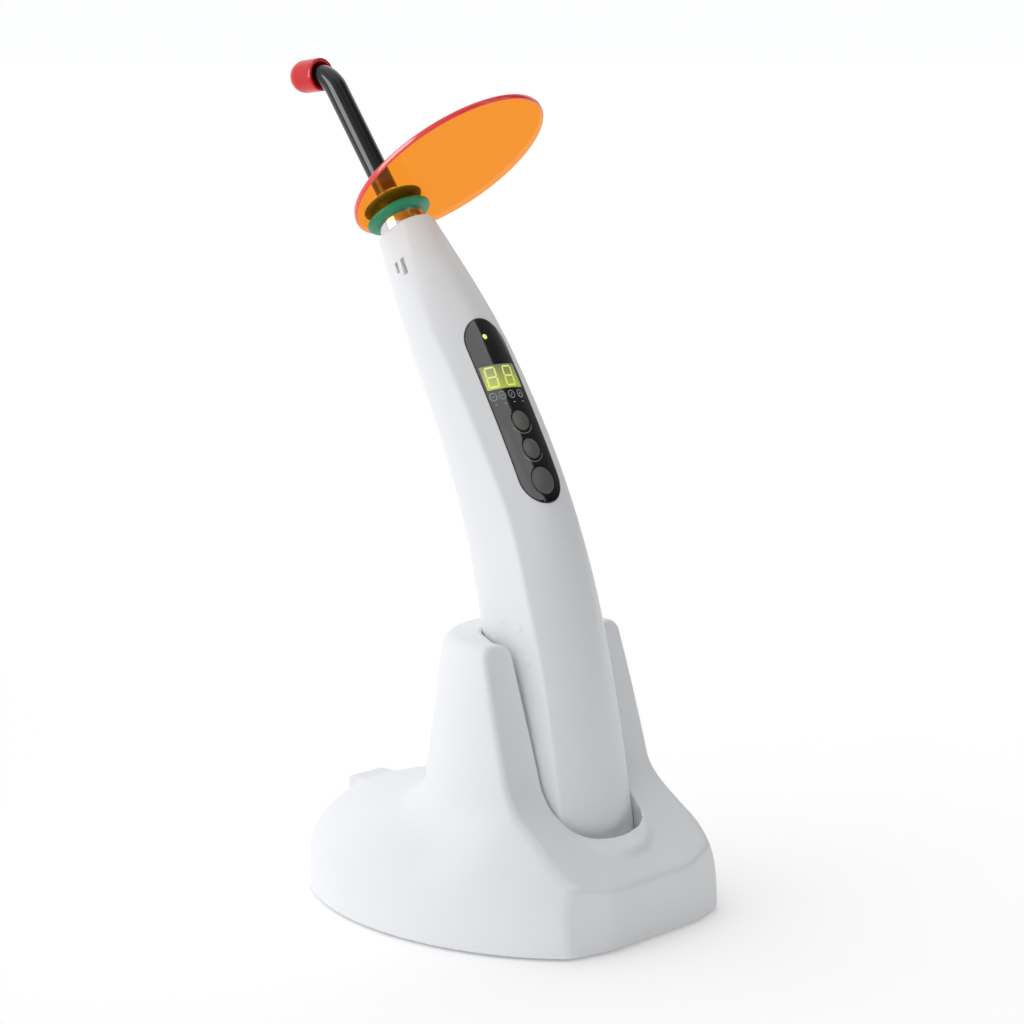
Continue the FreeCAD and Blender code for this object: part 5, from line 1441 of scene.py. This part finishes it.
def studio_floor(radii=(0.25, 0.5, 1.0, 2.0, 4.0, 8.0, 20.0, 45.0), seg=96):
    mesh = bpy.data.meshes.new("floor")
    bm = bmesh.new()
    inner = None
    for r in radii:
        ring = [bm.verts.new((r * math.cos(2 * math.pi * k / seg),
                              r * math.sin(2 * math.pi * k / seg), 0)) for k in range(seg)]
        centre = bm.verts.new((0, 0, 0)) if inner is None else None
        for k in range(seg):
            following = (k + 1) % seg
            if inner is None:
                bm.faces.new((centre, ring[k], ring[following]))
            else:
                bm.faces.new((inner[k], ring[k], ring[following], inner[following]))
        inner = ring
    bm.to_mesh(mesh)
    bm.free()
    floor = new_object("studio_floor", mesh)
    mat = material("studio_white", (0.93, 0.93, 0.93, 1), rough=0.8, spec=0.0, mottle=0.004,
                   mottle_scale=3, emit=(1, 1, 1, 1), emit_strength=0.30)
    floor.data.materials.append(mat)
    # the floor glows more with distance, so that it fades into the white world
    tree = mat.node_tree
    coords = add_node(tree, "TexCoord")
    distance = add_node(tree, "VectorMath", {0: coords.outputs["Object"]},
                        operation="LENGTH")
    glow = add_node(tree, "MapRange", {
        "From Min": 0.25, "From Max": 1.8, "To Min": 0.165, "To Max": 0.34,
        "Value": distance.outputs["Value"]}, interpolation_type="SMOOTHSTEP")
    tree.links.new(glow.outputs["Result"],
                   tree.nodes["Principled BSDF"].inputs["Emission Strength"])


studio_floor()

# the camera's axes; BACK points from the scene to the camera
RIGHT = Vector((0.71934, 0.69466, 0))
UP = Vector((-0.12017, 0.12444, 0.98492))
BACK = Vector((0.68418, -0.70850, 0.17299))
TARGET = Vector((0, 0, 0.14))


def area_light(name, right, back, up, size, power, distance=1.0, colour=(1, 1, 1),
               size_y=None):
    """Light aimed at the target; its place is given along RIGHT, BACK and +Z."""
    data = bpy.data.lights.new(name, "AREA")
    data.energy = power
    data.color = colour
    data.shape = "RECTANGLE"
    data.size = size
    data.size_y = size_y or size
    ob = bpy.data.objects.new(name, data)
    ob.location = TARGET + (RIGHT * right + BACK * back + Vector((0, 0, up))) * distance
    ob.rotation_mode = "QUATERNION"
    ob.rotation_quaternion = (TARGET - ob.location).to_track_quat("-Z", "Y")
    scene.collection.objects.link(ob)
    return ob


area_light("key", right=-1.15, back=0.45, up=0.85, size=0.8, power=0.65,
           colour=(1, 0.997, 0.99))
area_light("top", right=0.0, back=-0.1, up=1.4, size=1.2, power=2.06)
area_light("fill", right=1.0, back=0.9, up=0.5, size=0.9, power=0.77)
area_light("rear", right=0.3, back=-0.9, up=0.9, size=0.9, power=1.34)
# these two give no diffuse light; the strip falls on the glossy pieces only
softbox = area_light("softbox", right=0.72, back=0.30, up=0.63, distance=1.5, size=1.1,
                     size_y=0.9, power=4.6)
softbox.visible_diffuse = False
strip = area_light("strip", right=-0.90, back=0.40, up=0.10, distance=1.4, size=0.75,
                   size_y=1.3, power=17.0, colour=(0.97, 0.98, 1))
strip.visible_diffuse = False
glossy = bpy.data.collections.new("glossy_pieces")
for name in ("guide_rod", "ferrule", "tip_cap_red", "eye_shield_sheet", "grommet"):
    glossy.objects.link(bpy.data.objects[name])
strip.light_linking.receiver_collection = glossy


def studio_world():
    """White to the camera; as light it comes mostly from the left of the view."""
    world = bpy.data.worlds.new("studio")
    world.use_nodes = True
    tree = world.node_tree
    ray = add_node(tree, "LightPath")
    coords = add_node(tree, "TexCoord")
    bright_side = (-RIGHT + Vector((0, 0, 0.35)) - BACK * 0.25).normalized()
    towards = add_node(tree, "VectorMath", {0: coords.outputs["Generated"], 1: bright_side},
                       operation="DOT_PRODUCT")
    light = add_node(tree, "MapRange", {
        "From Min": -0.9, "From Max": 0.9, "To Min": 0.0, "To Max": 1.207,
        "Value": towards.outputs["Value"]}, interpolation_type="SMOOTHSTEP")
    # reflections see a fifth less
    dimming = add_node(tree, "Math", {0: ray.outputs["Is Glossy Ray"], 1: -0.2, 2: 1.0},
                       operation="MULTIPLY_ADD")
    dimmed = add_node(tree, "Math", {0: dimming.outputs[0], 1: light.outputs["Result"]},
                      operation="MULTIPLY")
    strength = add_node(tree, "Mix", {
        MIX_FACTOR: ray.outputs["Is Camera Ray"], MIX_FLOAT_A: dimmed.outputs[0],
        MIX_FLOAT_B: 1.0}, data_type="FLOAT")
    background = tree.nodes["Background"]
    tree.links.new(strength.outputs[MIX_FLOAT_OUT], background.inputs["Strength"])
    background.inputs["Color"].default_value = (0.985, 0.99, 1.0, 1)
    scene.world = world


def studio_camera():
    data = bpy.data.cameras.new("camera")
    data.sensor_width = 36.0        # sensor and lens in millimetres
    data.lens = 93.531621
    data.clip_start = 0.01
    data.clip_end = 50
    camera = bpy.data.objects.new("camera", data)
    camera.location = (0.621678, -0.643766, 0.293354)
    camera.rotation_mode = "QUATERNION"
    camera.rotation_quaternion = Matrix((RIGHT, UP, BACK)).transposed().to_quaternion()
    scene.collection.objects.link(camera)
    scene.camera = camera


studio_world()
scene.view_settings.view_transform = "Standard"
scene.view_settings.look = "None"
scene.view_settings.exposure = 0.0
studio_camera()
